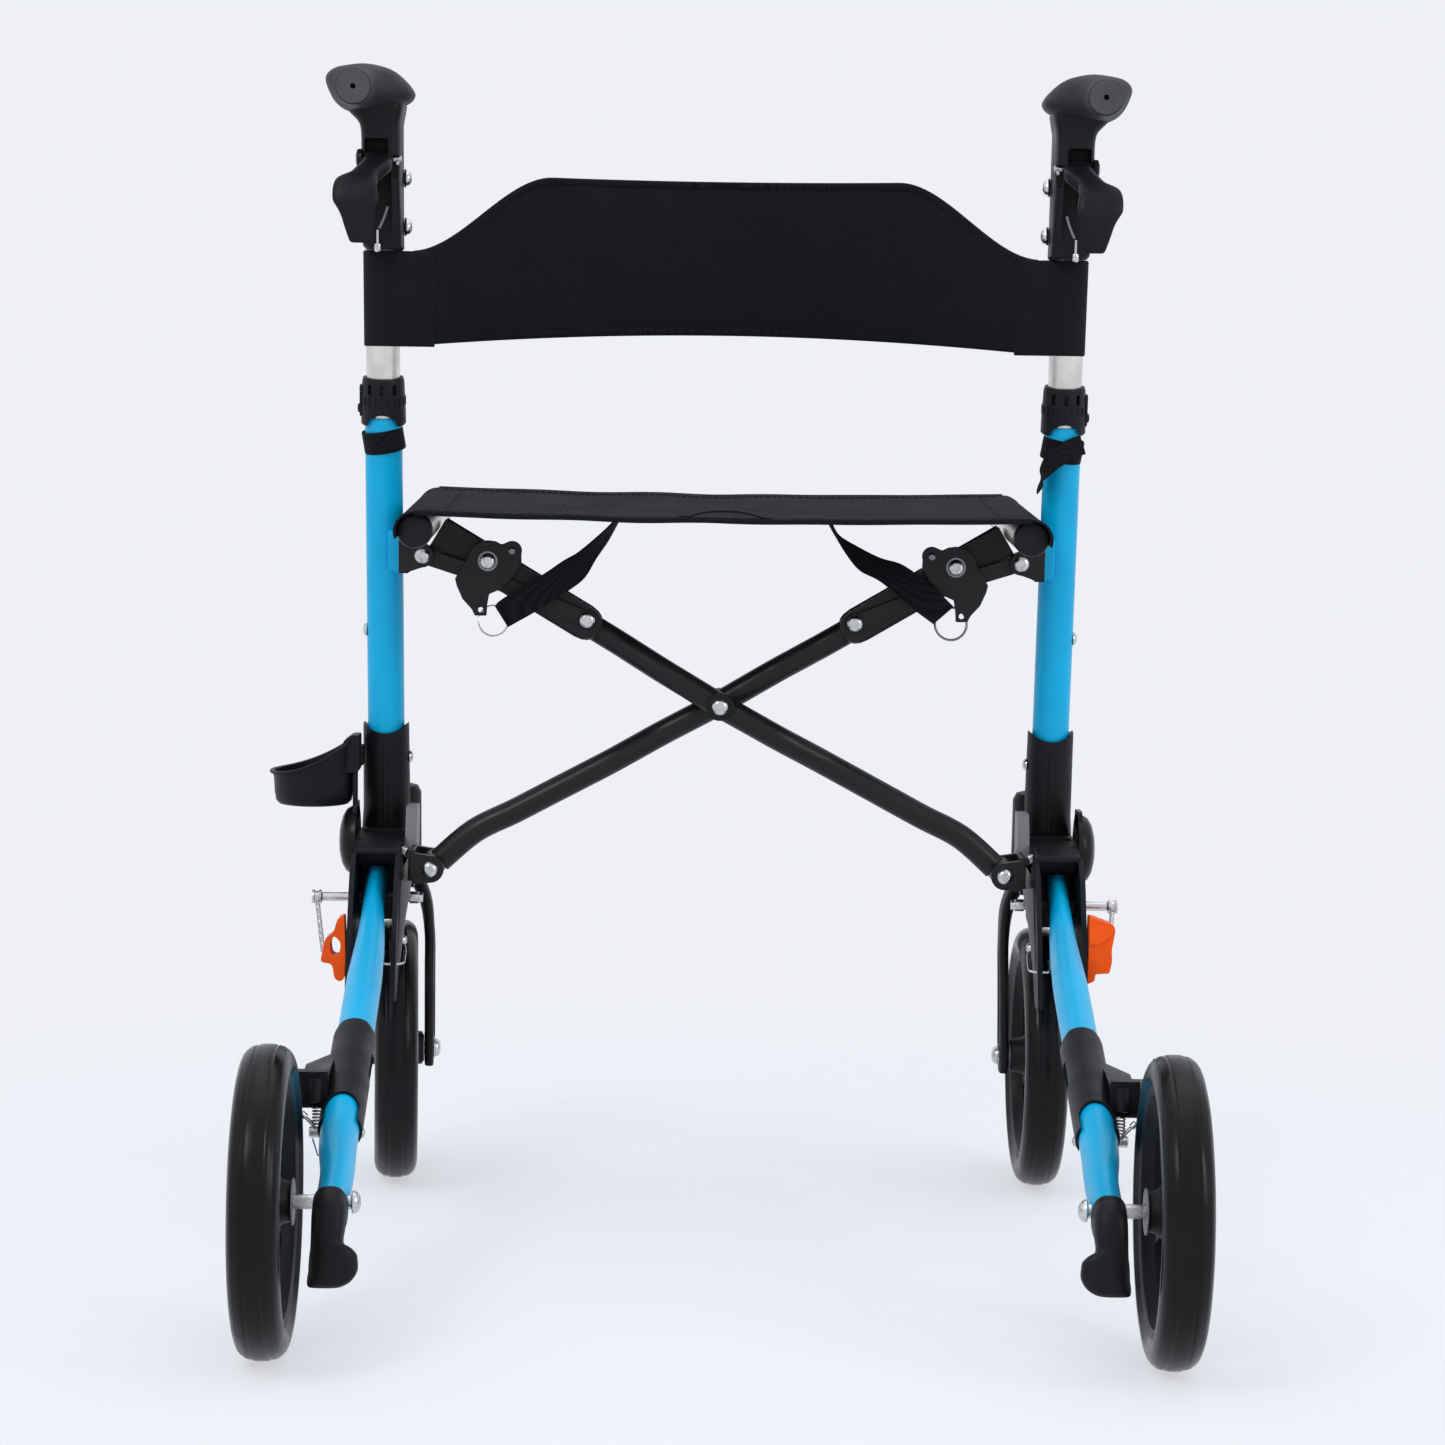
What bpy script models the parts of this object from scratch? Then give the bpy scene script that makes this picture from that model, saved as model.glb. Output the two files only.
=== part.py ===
"""Four-wheeled folding walking frame with a sling seat, back strap and loop of brakes.

Metres, +Z up. +Y is the walking direction, so the user stands on the -Y side and -X is the user's
left. The frame's own middle plane sits at MIDDLE_X, and the rear axle at MIDDLE_Y, so that the
origin is on the floor at the centre of the whole object's footprint.
"""
import math

import bmesh
import bpy
from mathutils import Matrix, Vector

# --- placing the frame in its footprint -------------------------------------------------------
MIDDLE_X = 0.0148
MIDDLE_Y = -0.2706
GAP = 0.0003                       # clearance between touching pieces

# --- wheels -----------------------------------------------------------------------------------
WHEEL_RADIUS = 0.100
TYRE_WIDTH = 0.033
RIM_RADIUS = 0.0800
HUB_RADIUS = 0.0170
REAR_HUB_HALF = 0.0165
FRONT_HUB_HALF = 0.0205
AXLE_RADIUS = 0.0048
WHEEL_SEGMENTS = 28               # an even split that leaves a flat facet at the bottom

# --- uprights: 28 mm tubes that lean back towards the user ------------------------------------
UPRIGHT_X = 0.2562
UPRIGHT_RADIUS = 0.0140
UPRIGHT_BORE = 0.0131
LEAN = math.radians(9.6)
LEAN_Y = 0.532                     # the tube axis passes through this point
LEAN_Z = 0.346
UPRIGHT_LOW_Z = 0.305
UPRIGHT_HIGH_Z = 0.588
POST_RADIUS = 0.0127
POST_LOW_Z = 0.370
POST_HIGH_Z = 0.7990
COLLAR_RADIUS = 0.0163

# --- folding rear legs ------------------------------------------------------------------------
LEG_PIVOT = (0.2570, 0.470, 0.2250)
LEG_SPLAY = math.radians(1.1)      # the wheel end of each leg sits closer in
AXLE_BACK = 0.470
AXLE_DOWN = LEG_PIVOT[2] - WHEEL_RADIUS
LEG_LENGTH = math.hypot(AXLE_BACK, AXLE_DOWN)
LEG_SLOPE = math.atan2(AXLE_DOWN, AXLE_BACK)
LEG_RADIUS = 0.0127
LEG_NOSE = 0.032                   # how far the leg runs on past its pivot
WHEEL_OFFSET = 0.0395              # wheel centre outboard of the leg
LEG_END_HALF = 0.0104              # the tube is pressed narrower, and inwards, at the axle
LEG_END_SHIFT = 0.0034
SHAFT_RADIUS = 0.0035

# --- front castors ----------------------------------------------------------------------------
CASTOR_X = 0.2495
CASTOR_Y = 0.560
CASTOR_TRAIL = 0.040
FORK_ARM_X = 0.0254
LEFT_SWIVEL = math.radians(4.6)    # the left castor is stored turned a little

# --- scissor brace under the seat -------------------------------------------------------------
BRACE_Y = 0.4860
BRACE_RADIUS = 0.0096
CROSS_Z = 0.3737
CROSS_OFFSET = 0.0106              # each tube steps aside by this much where they cross
FOOT_X = 0.2173
FOOT_Z = 0.2476
RAIL_X = 0.2250
RAIL_Z = 0.5070
RAIL_RADIUS = 0.0130
RAIL_LIFT = 0.0025                 # the rails rest this much above the arms' centre lines
RAIL_TILT = 0.0300                 # rise per metre forwards
RAIL_BACK_Y = 0.387
RAIL_FRONT_Y = 0.633
ARM_START = 0.1080                 # seat arm: distance from the crossing to its lower end
ARM_HALF_Y = 0.0118
ARM_HALF_Z = 0.0128
LINK_PIVOT = (0.2245, 0.4845)      # over-centre toggle: pivot on the upright's bracket
LINK_KNEE = (0.1836, 0.4715)       # its knee
TOGGLE_PIVOT = (0.1008, 0.4375)    # its pivot on the seat arm
HOOK_PIVOT = (0.1747, 0.4823)
LAYER_TOGGLE = (0.4699, 0.4739)    # flat bars stacked behind the seat arm, front to back
LAYER_LINK = (0.4652, 0.4696)
LAYER_HOOK = (0.4605, 0.4649)

# --- handles ----------------------------------------------------------------------------------
GRIP_X = 0.2690
GRIP_Z = 0.8258
GRIP_RADIUS = 0.0132
GRIP_DROP = 0.0015                 # the round heel of the grip sits a little below GRIP_Z
WING = [(0.0260, 0.0083), (0.0198, 0.0157), (0.0076, 0.0185), (-0.0058, 0.0185), (-0.0219, 0.0105),
        (-0.0327, 0.0022),
        (-0.0392, -0.0045), (-0.0376, -0.0082), (-0.0344, -0.0109), (-0.0290, -0.0126), (-0.0150, -0.0120),
        (-0.0030, -0.0135), (0.0068, -0.0150), (0.0149, -0.0122),
        (0.0213, -0.0049)]    # palm wing, outboard first
LEVER_AXIS = (0.4330, 0.7765)
LEVER_HUB = 0.0065

COLOURS = {
    "blue_paint": ((0.004, 0.305, 0.645), 0.34, 0.0),
    "black_paint": ((0.012, 0.012, 0.013), 0.38, 0.0),
    "black_plastic": ((0.016, 0.016, 0.018), 0.55, 0.0),
    "grip_rubber": ((0.020, 0.021, 0.024), 0.62, 0.0),
    "tyre_rubber": ((0.018, 0.018, 0.020), 0.48, 0.0),
    "zinc_steel": ((0.55, 0.55, 0.56), 0.28, 1.0),
    "aluminium_tube": ((0.66, 0.65, 0.62), 0.30, 1.0),
    "black_fabric": ((0.012, 0.012, 0.015), 0.85, 0.0),
    "orange_plastic": ((0.80, 0.085, 0.012), 0.45, 0.0),
}


MATERIALS = {}
ORIGINS = {}                       # where each axis sits in the coordinates its pieces are drawn in


def clear_scene():
    for item in list(bpy.data.objects):
        bpy.data.objects.remove(item, do_unlink=True)


def make_material(name):
    colour, roughness, metallic = COLOURS[name]
    material = bpy.data.materials.new(name)
    material.use_nodes = True
    shader = material.node_tree.nodes["Principled BSDF"]
    shader.inputs["Base Color"].default_value = (*colour, 1.0)
    shader.inputs["Roughness"].default_value = roughness
    shader.inputs["Metallic"].default_value = metallic
    material.diffuse_color = (*colour, 1.0)
    return material


def make_axis(name, location, parent=None, turn=0.0, own=False):
    """An empty on a joint's axis.

    The location is given in the coordinates its parent's pieces are drawn in. With own, the pieces
    on this axis are drawn round the axis itself instead, and may be turned about Z with it.
    """
    empty = bpy.data.objects.new(name, None)
    start = ORIGINS[parent.name] if parent else Vector((0, 0, 0))
    empty.location = Vector(location) - start
    empty.rotation_euler = (0.0, 0.0, turn)
    empty.parent = parent
    empty.empty_display_size = 0.02
    bpy.context.scene.collection.objects.link(empty)
    ORIGINS[name] = Vector((0, 0, 0)) if own else Vector(location)
    return empty


def make_solid(name, mesh, kind, parent):
    """Turn a bmesh into a named, shaded object on its parent axis."""
    mesh.transform(Matrix.Translation(-ORIGINS[parent.name]))
    bmesh.ops.remove_doubles(mesh, verts=mesh.verts, dist=1e-6)
    bmesh.ops.recalc_face_normals(mesh, faces=mesh.faces)
    data = bpy.data.meshes.new(name)
    mesh.to_mesh(data)
    mesh.free()
    data.shade_smooth()
    data.set_sharp_from_angle(angle=math.radians(40))
    solid = bpy.data.objects.new(name, data)
    if kind:
        solid.data.materials.append(MATERIALS[kind])
    solid.parent = parent
    bpy.context.scene.collection.objects.link(solid)
    return solid


def add_boolean(target, mesh, operation):
    """Join or cut a solid with a hidden tool that shares its parent."""
    tool = make_solid(target.name + "_tool", mesh, None, target.parent)
    tool.hide_render = True
    tool.display_type = "WIRE"
    modifier = target.modifiers.new(operation.lower(), "BOOLEAN")
    modifier.operation = operation
    modifier.solver = "EXACT"
    modifier.object = tool


def join(target, mesh):
    add_boolean(target, mesh, "UNION")


def cut(target, mesh):
    add_boolean(target, mesh, "DIFFERENCE")


# --- shape helpers ----------------------------------------------------------------------------
def superellipse(centre, side, up, half_side, half_up, count, power=2.0):
    """A ring of points round a centre: power 2 is an ellipse, larger powers square it off."""
    ring = []
    for step in range(count):
        angle = 2.0 * math.pi * (step + 0.5) / count
        across = math.copysign(abs(math.cos(angle)) ** (2.0 / power), math.cos(angle))
        along = math.copysign(abs(math.sin(angle)) ** (2.0 / power), math.sin(angle))
        ring.append(Vector(centre) + Vector(side) * (half_side * across) + Vector(up) * (half_up * along))
    return ring


def loft(rings, closed=False):
    """Skin a row of rings; closed joins the last to the first, otherwise both ends are capped."""
    mesh = bmesh.new()
    rows = [[mesh.verts.new(point) for point in ring] for ring in rings]
    pairs = list(zip(rows, rows[1:]))
    if closed:
        pairs.append((rows[-1], rows[0]))
    for first, second in pairs:
        for index in range(len(first)):
            after = (index + 1) % len(first)
            mesh.faces.new((first[index], first[after], second[after], second[index]))
    if not closed:
        mesh.faces.new(list(reversed(rows[0])))
        mesh.faces.new(rows[-1])
    return mesh


def side_axes(direction):
    """Two unit vectors square to a direction."""
    direction = Vector(direction).normalized()
    helper = Vector((0, 0, 1)) if abs(direction.z) < 0.9 else Vector((1, 0, 0))
    side = direction.cross(helper).normalized()
    return side, direction.cross(side).normalized()


def turned(origin, direction, profile, count=24, closed=False):
    """A turned piece: profile points are (distance along the axis, radius)."""
    side, up = side_axes(direction)
    direction = Vector(direction).normalized()
    rings = [superellipse(Vector(origin) + direction * along, side, up, radius, radius, count)
             for along, radius in profile]
    return loft(rings, closed)


def cylinder(start, end, radius, count=20):
    start, end = Vector(start), Vector(end)
    return turned(start, end - start, [(0.0, radius), ((end - start).length, radius)], count)


def hollow_tube(start, end, radius, bore, count=20):
    start, end = Vector(start), Vector(end)
    length = (end - start).length
    profile = [(0.0, bore), (0.0, radius), (length, radius), (length, bore)]
    return turned(start, end - start, profile, count, closed=True)


def block(low, high):
    mesh = bmesh.new()
    bmesh.ops.create_cube(mesh, size=1.0)
    low, high = Vector(low), Vector(high)
    size = high - low
    for vert in mesh.verts:
        vert.co = Vector([low[i] + (vert.co[i] + 0.5) * size[i] for i in range(3)])
    return mesh


def plate(outline, normal, low, high):
    """A flat outline extruded along X, Y or Z; the outline gives the other two coordinates."""
    rings = []
    for level in (low, high):
        ring = []
        for first, second in outline:
            point = [first, second]
            point.insert("XYZ".index(normal), level)
            ring.append(Vector(point))
        rings.append(ring)
    return loft(rings)


def arc(centre, radius, start, end, count):
    """Points on an arc, angles in degrees."""
    return [(centre[0] + radius * math.cos(math.radians(start + (end - start) * step / count)),
             centre[1] + radius * math.sin(math.radians(start + (end - start) * step / count)))
            for step in range(count + 1)]


def bar_outline(first, second, radius, count=6):
    """A flat bar with round ends between two points."""
    heading = math.degrees(math.atan2(second[1] - first[1], second[0] - first[0]))
    return (arc(first, radius, heading + 90, heading + 270, count)
            + arc(second, radius, heading - 90, heading + 90, count))


def pipe(points, sizes, lateral, count=16, power=2.0):
    """A swept piece: sizes are (half width along lateral, half height) at each point."""
    points = [Vector(point) for point in points]
    rings = []
    for index, point in enumerate(points):
        before = points[max(index - 1, 0)]
        after = points[min(index + 1, len(points) - 1)]
        heading = (after - before).normalized()
        side = (Vector(lateral) - heading * heading.dot(Vector(lateral))).normalized()
        rings.append(superellipse(point, side, heading.cross(side), sizes[index][0], sizes[index][1], count,
                power))
    return loft(rings)


def lean_point(x, z):
    """A point on an upright's leaning axis."""
    return Vector((x, LEAN_Y - math.tan(LEAN) * (z - LEAN_Z), z))


def lean_axis():
    return Vector((0.0, -math.sin(LEAN), math.cos(LEAN)))


# --- wheels -----------------------------------------------------------------------------------
def build_wheel(prefix, axis, hub_half):
    half = TYRE_WIDTH / 2
    crown = WHEEL_RADIUS / math.cos(math.pi / WHEEL_SEGMENTS)
    outer = [(-half, WHEEL_RADIUS - 0.0120), (-0.0095, crown), (0.0095, crown), (half, WHEEL_RADIUS - 0.0120)]
    inner = [(half - 0.003, RIM_RADIUS + GAP), (-half + 0.003, RIM_RADIUS + GAP)]
    tyre = turned((0, 0, 0), (1, 0, 0), outer + inner, WHEEL_SEGMENTS, closed=True)
    make_solid(prefix + "_tyre", tyre, "tyre_rubber", axis)
    bore = AXLE_RADIUS + GAP
    ring_half, web_half = 0.0125, 0.005
    profile = [(-hub_half, bore), (-hub_half, HUB_RADIUS), (-web_half, HUB_RADIUS + 0.001),
               (-web_half, RIM_RADIUS - 0.0075), (-ring_half, RIM_RADIUS), (ring_half, RIM_RADIUS),
               (web_half, RIM_RADIUS - 0.0075), (web_half, HUB_RADIUS + 0.001), (hub_half, HUB_RADIUS),
               (hub_half, bore)]
    rim = make_solid(prefix + "_rim", turned((0, 0, 0), (1, 0, 0), profile, WHEEL_SEGMENTS, closed=True),
                     "black_plastic", axis)
    windows = 5
    reach = 360.0 / windows / 2 - 11.0
    for index in range(windows):
        middle = 90.0 + 360.0 * index / windows
        outline = (arc((0, 0), RIM_RADIUS - 0.0135, middle - reach, middle + reach, 3)
                   + arc((0, 0), HUB_RADIUS + 0.0065, middle + reach * 0.35, middle - reach * 0.35, 1))
        cut(rim, plate(outline, "X", -0.03, 0.03))


def build_rear_axle(name, side, axis):
    """Stepped axle with a domed head inboard; it passes through the leg and carries the wheel."""
    profile = [(-0.0215, 0.0040), (-0.0195, 0.0072), (-0.0150, 0.0078), (-0.0150, AXLE_RADIUS),
               (WHEEL_OFFSET + REAR_HUB_HALF + 0.0010, AXLE_RADIUS),
               (WHEEL_OFFSET + REAR_HUB_HALF + 0.0010, 0.0080),
               (WHEEL_OFFSET + REAR_HUB_HALF + 0.0045, 0.0070)]
    mesh = turned((0, -AXLE_BACK, -AXLE_DOWN), (side, 0, 0), profile, 18)
    make_solid(name, mesh, "zinc_steel", axis)


# --- rear leg, in coordinates whose origin is the leg's pivot ----------------------------------
def leg_point(along, below=0.0):
    """A point on the leg's axis, measured from the pivot down to the wheel."""
    back = Vector((0, -math.cos(LEG_SLOPE), -math.sin(LEG_SLOPE)))
    under = Vector((0, math.sin(LEG_SLOPE), -math.cos(LEG_SLOPE)))
    return back * along + under * below


def build_leg(prefix, side, axis):
    stations = [(-LEG_NOSE, 0.0058, 0.0085), (-LEG_NOSE + 0.004, 0.0070, 0.0130),
                (-LEG_NOSE + 0.013, 0.0075, 0.0154), (0.020, 0.0075, 0.0156), (0.050, 0.0088, 0.0148),
                (0.085, 0.0105, 0.0138), (0.125, 0.0120, 0.0131), (0.165, LEG_RADIUS, LEG_RADIUS),
                (0.4000, LEG_RADIUS, LEG_RADIUS), (0.4500, 0.0110, 0.0142),
                (LEG_LENGTH + 0.0135, LEG_END_HALF, 0.0149)]
    points = [leg_point(station[0]) for station in stations]
    points[-2] += Vector((-side * 0.0025, 0, 0))
    points[-1] += Vector((-side * LEG_END_SHIFT, 0, 0))
    sizes = [(station[1], station[2]) for station in stations]
    leg = make_solid(prefix + "_rear_leg", pipe(points, sizes, (1, 0, 0), 20), "blue_paint", axis)
    cut(leg, cylinder((-0.03, 0, 0), (0.03, 0, 0), SHAFT_RADIUS + GAP, 14))
    cut(leg, cylinder((-0.03, -AXLE_BACK, -AXLE_DOWN), (0.03, -AXLE_BACK, -AXLE_DOWN), AXLE_RADIUS + GAP, 18))


def build_kick_step(prefix, side, axis):
    """Plastic plug on the leg's cut end, drawn down into a foot step."""
    end = LEG_LENGTH + 0.0135 + GAP
    stations = [(0.0, 0.0, 0.0100, 0.0140, -0.0034), (0.0080, 0.0, 0.0100, 0.0125, -0.0036),
            (0.0145, 0.0050, 0.0101, 0.0110, -0.0034),
                (0.0195, 0.0125, 0.0104, 0.0100, -0.0026), (0.0240, 0.0190, 0.0138, 0.0090, -0.0048),
                (0.0285, 0.0275, 0.0150, 0.0082, -0.0050),
                (0.0320, 0.0365, 0.0138, 0.0060, -0.0030)]
    path = [leg_point(end + along, below) + Vector((side * shift, 0, 0)) for along, below, _, _,
            shift in stations]
    sizes = [(half_x, half_z) for _, _, half_x, half_z, _ in stations]
    make_solid(prefix + "_kick_step", pipe(path, sizes, (1, 0, 0), 18, 2.5), "black_plastic", axis)


def build_brake_bracket(prefix, side, axis):
    """Split sleeve clamped on the leg, with a wing that reaches out over the wheel."""
    top, bottom = 0.2450, 0.3650
    sleeve = hollow_tube(leg_point(top), leg_point(bottom), 0.0150, LEG_RADIUS + GAP, 24)
    bracket = make_solid(prefix + "_brake_bracket", sleeve, "black_plastic", axis)
    wing = [(-0.352, -0.0735), (-0.300, -0.0640), (-0.268, -0.0635), (-0.268, -0.0735), (-0.300, -0.0768),
            (-0.345, -0.0768)]
    low, high = sorted((side * 0.0090, side * 0.0500))
    join(bracket, plate(wing, "X", low, high))
    cut(bracket, cylinder(leg_point(top - 0.05), leg_point(bottom + 0.05), LEG_RADIUS + GAP, 24))


def wheel_point(angle, radius):
    """(y, z) in leg coordinates at an angle above straight ahead, measured round the rear wheel."""
    return (-AXLE_BACK + radius * math.cos(math.radians(angle)),
            -AXLE_DOWN + radius * math.sin(math.radians(angle)))


def build_brake_arm(prefix, side, parent):
    """Arm with a curved shoe that presses on the front of the rear tyre."""
    pivot = (-0.3020, -0.0860)
    axis = make_axis(prefix + "_brake_arm_axis", (0, pivot[0], pivot[1]), parent)
    inner = [wheel_point(angle, WHEEL_RADIUS + 0.0030) for angle in (50, 43, 36, 28)]
    outer = [wheel_point(angle, WHEEL_RADIUS + 0.0115) for angle in (30, 38, 45, 50)]
    outline = inner + [(-0.3700, -0.0885), (-0.3030, -0.0940)]
    outline += arc(pivot, 0.0080, -75, 75, 5)
    outline += [(-0.3480, -0.0780)] + outer
    low, high = sorted((side * 0.0320, side * 0.0470))
    make_solid(prefix + "_brake_arm", plate(outline, "X", low, high), "black_paint", axis)


# --- front castor, in coordinates whose origin is on the stem at floor level --------------------
def build_castor(prefix, axis):
    half_thick, half_wide = 0.0037, 0.0110
    right_side = [(FORK_ARM_X, -CASTOR_TRAIL, 0.0870), (FORK_ARM_X, -CASTOR_TRAIL, 0.1050),
                  (FORK_ARM_X, -0.0310, 0.1500), (FORK_ARM_X - 0.0008, -0.0200, 0.1850),
                  (FORK_ARM_X - 0.0060, -0.0090, 0.2130), (0.0130, -0.0030, 0.2300), (0.0, 0.0, 0.2345)]
    left_side = [(-x, y, z) for x, y, z in right_side[:-1]]
    path = left_side + list(reversed(right_side))
    rings = []
    for index, point in enumerate(path):
        before = Vector(path[max(index - 1, 0)])
        after = Vector(path[min(index + 1, len(path) - 1)])
        heading = (after - before).normalized()
        wide = Vector((0, 1, 0)) - heading * heading.y
        wide.normalize()
        rings.append(superellipse(point, wide, heading.cross(wide), half_wide, half_thick, 12, 4.0))
    fork = make_solid(prefix + "_castor_fork", loft(rings), "black_plastic", axis)
    join(fork, turned((0, 0, 0.2300), (0, 0, 1), [(0, 0.0165), (0.0160, 0.0175), (0.0160, 0.0080), (0.0600,
            0.0080)], 20))
    cut(fork, cylinder((-0.04, -CASTOR_TRAIL, WHEEL_RADIUS), (0.04, -CASTOR_TRAIL, WHEEL_RADIUS),
            AXLE_RADIUS + GAP, 18))
    head = FORK_ARM_X + half_thick + GAP
    profile = [(-head - 0.0050, 0.0050), (-head - 0.0045, 0.0068), (-head, 0.0068), (-head, AXLE_RADIUS),
               (head, AXLE_RADIUS), (head, 0.0068), (head + 0.0045, 0.0068), (head + 0.0050, 0.0050)]
    axle = turned((0, -CASTOR_TRAIL, WHEEL_RADIUS), (1, 0, 0), profile, 18)
    make_solid(prefix + "_front_axle", axle, "zinc_steel", axis)


# --- leg housing: tube socket, leg fork and castor bearing in one moulding ----------------------
def build_housing(prefix, side, frame):
    x = side * UPRIGHT_X
    sleeve_start, sleeve_end = lean_point(x, 0.262), lean_point(x, 0.349)
    housing = make_solid(prefix + "_leg_housing", cylinder(sleeve_start, sleeve_end, 0.0178, 24),
            "black_plastic", frame)
    inner_x, outer_x = side * 0.2335, side * 0.2755
    low, high = sorted((inner_x, outer_x))
    join(housing, block((low, 0.4780, 0.2485), (high, 0.5810, 0.2740)))
    join(housing, block((low, 0.5080, 0.2085), (high, 0.5140, 0.2600)))
    cheek = [(0.4020, 0.1560), (0.4270, 0.1560), (0.4430, 0.1760), (0.4690, 0.1965), (0.4980, 0.2080),
             (0.5130, 0.2090), (0.5130, 0.2600), (0.4520, 0.2600)]
    for edge, step in ((inner_x, side * 0.0040), (outer_x, -side * 0.0040)):
        first, second = sorted((edge, edge + step))
        join(housing, plate(cheek, "X", first, second))
    boss = (side * CASTOR_X, CASTOR_Y)
    join(housing, cylinder((*boss, 0.2484), (*boss, 0.3020), 0.0190, 24))
    cut(housing, cylinder(lean_point(x, UPRIGHT_LOW_Z - GAP), lean_point(x, 0.40), UPRIGHT_RADIUS + GAP, 24))
    cut(housing, cylinder((*boss, 0.2300), (*boss, 0.2920), 0.0085, 20))
    turn = Vector((math.cos(LEG_SPLAY), -side * math.sin(LEG_SPLAY), 0.0))
    pivot = Vector((side * LEG_PIVOT[0], LEG_PIVOT[1], LEG_PIVOT[2]))
    cut(housing, cylinder(pivot - turn * 0.06, pivot + turn * 0.06, SHAFT_RADIUS + GAP, 14))


def build_leg_shaft(prefix, side, axis):
    """Pivot shaft of the leg: a long outer end with a head that anchors the lever's spring."""
    profile = [(-0.0310, 0.0060), (-0.0260, 0.0060), (-0.0260, SHAFT_RADIUS), (0.0385, SHAFT_RADIUS),
               (0.0385, 0.0055), (0.0460, 0.0055)]
    make_solid(prefix + "_leg_pivot_shaft", turned((0, 0, 0), (side, 0, 0), profile, 14), "zinc_steel", axis)


def build_upright(prefix, side, frame):
    x = side * UPRIGHT_X
    tube = hollow_tube(lean_point(x, UPRIGHT_LOW_Z), lean_point(x, UPRIGHT_HIGH_Z), UPRIGHT_RADIUS,
            UPRIGHT_BORE, 24)
    upright = make_solid(prefix + "_upright", tube, "blue_paint", frame)
    low, high = sorted((side * 0.2425, side * 0.2560))
    join(upright, block((low, 0.4870, 0.4705), (high, 0.5120, 0.5020)))
    cut(upright, cylinder(lean_point(x, 0.29), lean_point(x, 0.60), UPRIGHT_BORE, 24))
    low_z, high_z = 0.5820, 0.6180
    seat = (UPRIGHT_HIGH_Z - low_z) / math.cos(LEAN) + GAP
    length = (high_z - low_z) / math.cos(LEAN)
    inner = UPRIGHT_RADIUS + GAP
    neck = POST_RADIUS + 0.0004
    profile = [(0.0, inner), (0.0, COLLAR_RADIUS + 0.0006), (length, COLLAR_RADIUS), (length, neck),
            (seat, neck), (seat, inner)]
    collar = turned(lean_point(x, low_z), lean_axis(), profile, 24, closed=True)
    make_solid(prefix + "_height_collar", collar, "black_plastic", frame)


# --- scissor brace, seat arms and rails --------------------------------------------------------
def build_brace(prefix, side, axis, step):
    """One scissor tube, from the foot on the far side up into the seat arm on this side."""
    foot = Vector((-side * FOOT_X, BRACE_Y, FOOT_Z))
    rail = Vector((side * RAIL_X, BRACE_Y, RAIL_Z))
    cross = Vector((0.0, BRACE_Y, CROSS_Z))
    run = (rail - cross).normalized()
    path = [foot + Vector((side * 0.0060, 0, 0.0040)), Vector((-side * 0.1550, BRACE_Y, 0.2895)),
            Vector((-side * 0.1300, BRACE_Y, 0.3032))]
    for reach in (0.092, 0.075, 0.048, 0.030):
        share = (reach - 0.048) / (0.092 - 0.048)
        aside = step * CROSS_OFFSET * (1.0 - max(0.0, min(1.0, share)))
        path.append(Vector((-side * reach * 0.876, BRACE_Y + aside, CROSS_Z - reach * 0.478)))
    for reach in (0.030, 0.048, 0.075, 0.092, 0.236):
        share = (reach - 0.048) / (0.092 - 0.048)
        aside = step * CROSS_OFFSET * (1.0 - max(0.0, min(1.0, share)))
        path.append(cross + run * reach + Vector((0, aside, 0)))
    tube = pipe(path, [(BRACE_RADIUS, BRACE_RADIUS)] * len(path), (0, 1, 0), 16)
    brace = make_solid(prefix + "_brace_tube", tube, "black_paint", axis)
    half = Vector((0, 0.0175, 0))
    join(brace, cylinder(foot - half, foot + half, 0.0100, 18))
    cut(brace, cylinder(foot - 2 * half, foot + 2 * half, 0.0043, 16))
    cut(brace, cylinder(cross - 2 * half, cross + 2 * half, 0.0043, 16))


def build_seat_arm(prefix, side, axis):
    """Pressed channel that hugs the top of the brace tube and carries the rail."""
    cross = Vector((0.0, BRACE_Y, CROSS_Z))
    rail = Vector((side * RAIL_X, BRACE_Y, RAIL_Z))
    run = (rail - cross).normalized()
    up = run.cross(Vector((0, side, 0))) * -1.0
    wall = ARM_HALF_Y - BRACE_RADIUS - GAP
    inside = ARM_HALF_Y - wall
    profile = [(-ARM_HALF_Y, -ARM_HALF_Z), (-ARM_HALF_Y, ARM_HALF_Z), (ARM_HALF_Y, ARM_HALF_Z),
               (ARM_HALF_Y, -ARM_HALF_Z), (inside, -ARM_HALF_Z), (inside, ARM_HALF_Z - wall),
               (-inside, ARM_HALF_Z - wall), (-inside, -ARM_HALF_Z)]
    finish = (rail - cross).length - RAIL_RADIUS + 0.0006
    rings = []
    for reach, depth in ((ARM_START, 0.55), (ARM_START + 0.008, 1.0), (finish, 1.0)):
        centre = cross + run * reach
        rings.append([centre + Vector((0, y, 0)) + up * (z * depth if z < 0 else z) for y, z in profile])
    make_solid(prefix + "_seat_arm", loft(rings), "black_paint", axis)
    length = RAIL_FRONT_Y - RAIL_BACK_Y
    ends = [(0.0, RAIL_RADIUS - 0.0030), (0.0018, RAIL_RADIUS - 0.0006), (0.0040, RAIL_RADIUS)]
    profile = ends + [(length - along, radius) for along, radius in reversed(ends)]
    back_z = RAIL_Z + RAIL_LIFT - RAIL_TILT * (BRACE_Y - RAIL_BACK_Y)
    mesh = turned((side * RAIL_X, RAIL_BACK_Y, back_z), Vector((0, 1, RAIL_TILT)).normalized(), profile, 24)
    make_solid(prefix + "_seat_rail", mesh, "black_plastic", axis)


def mirrored(outline, side):
    """An X-Z outline drawn for the right side, turned over for the left."""
    return [(side * x, z) for x, z in outline]


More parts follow.
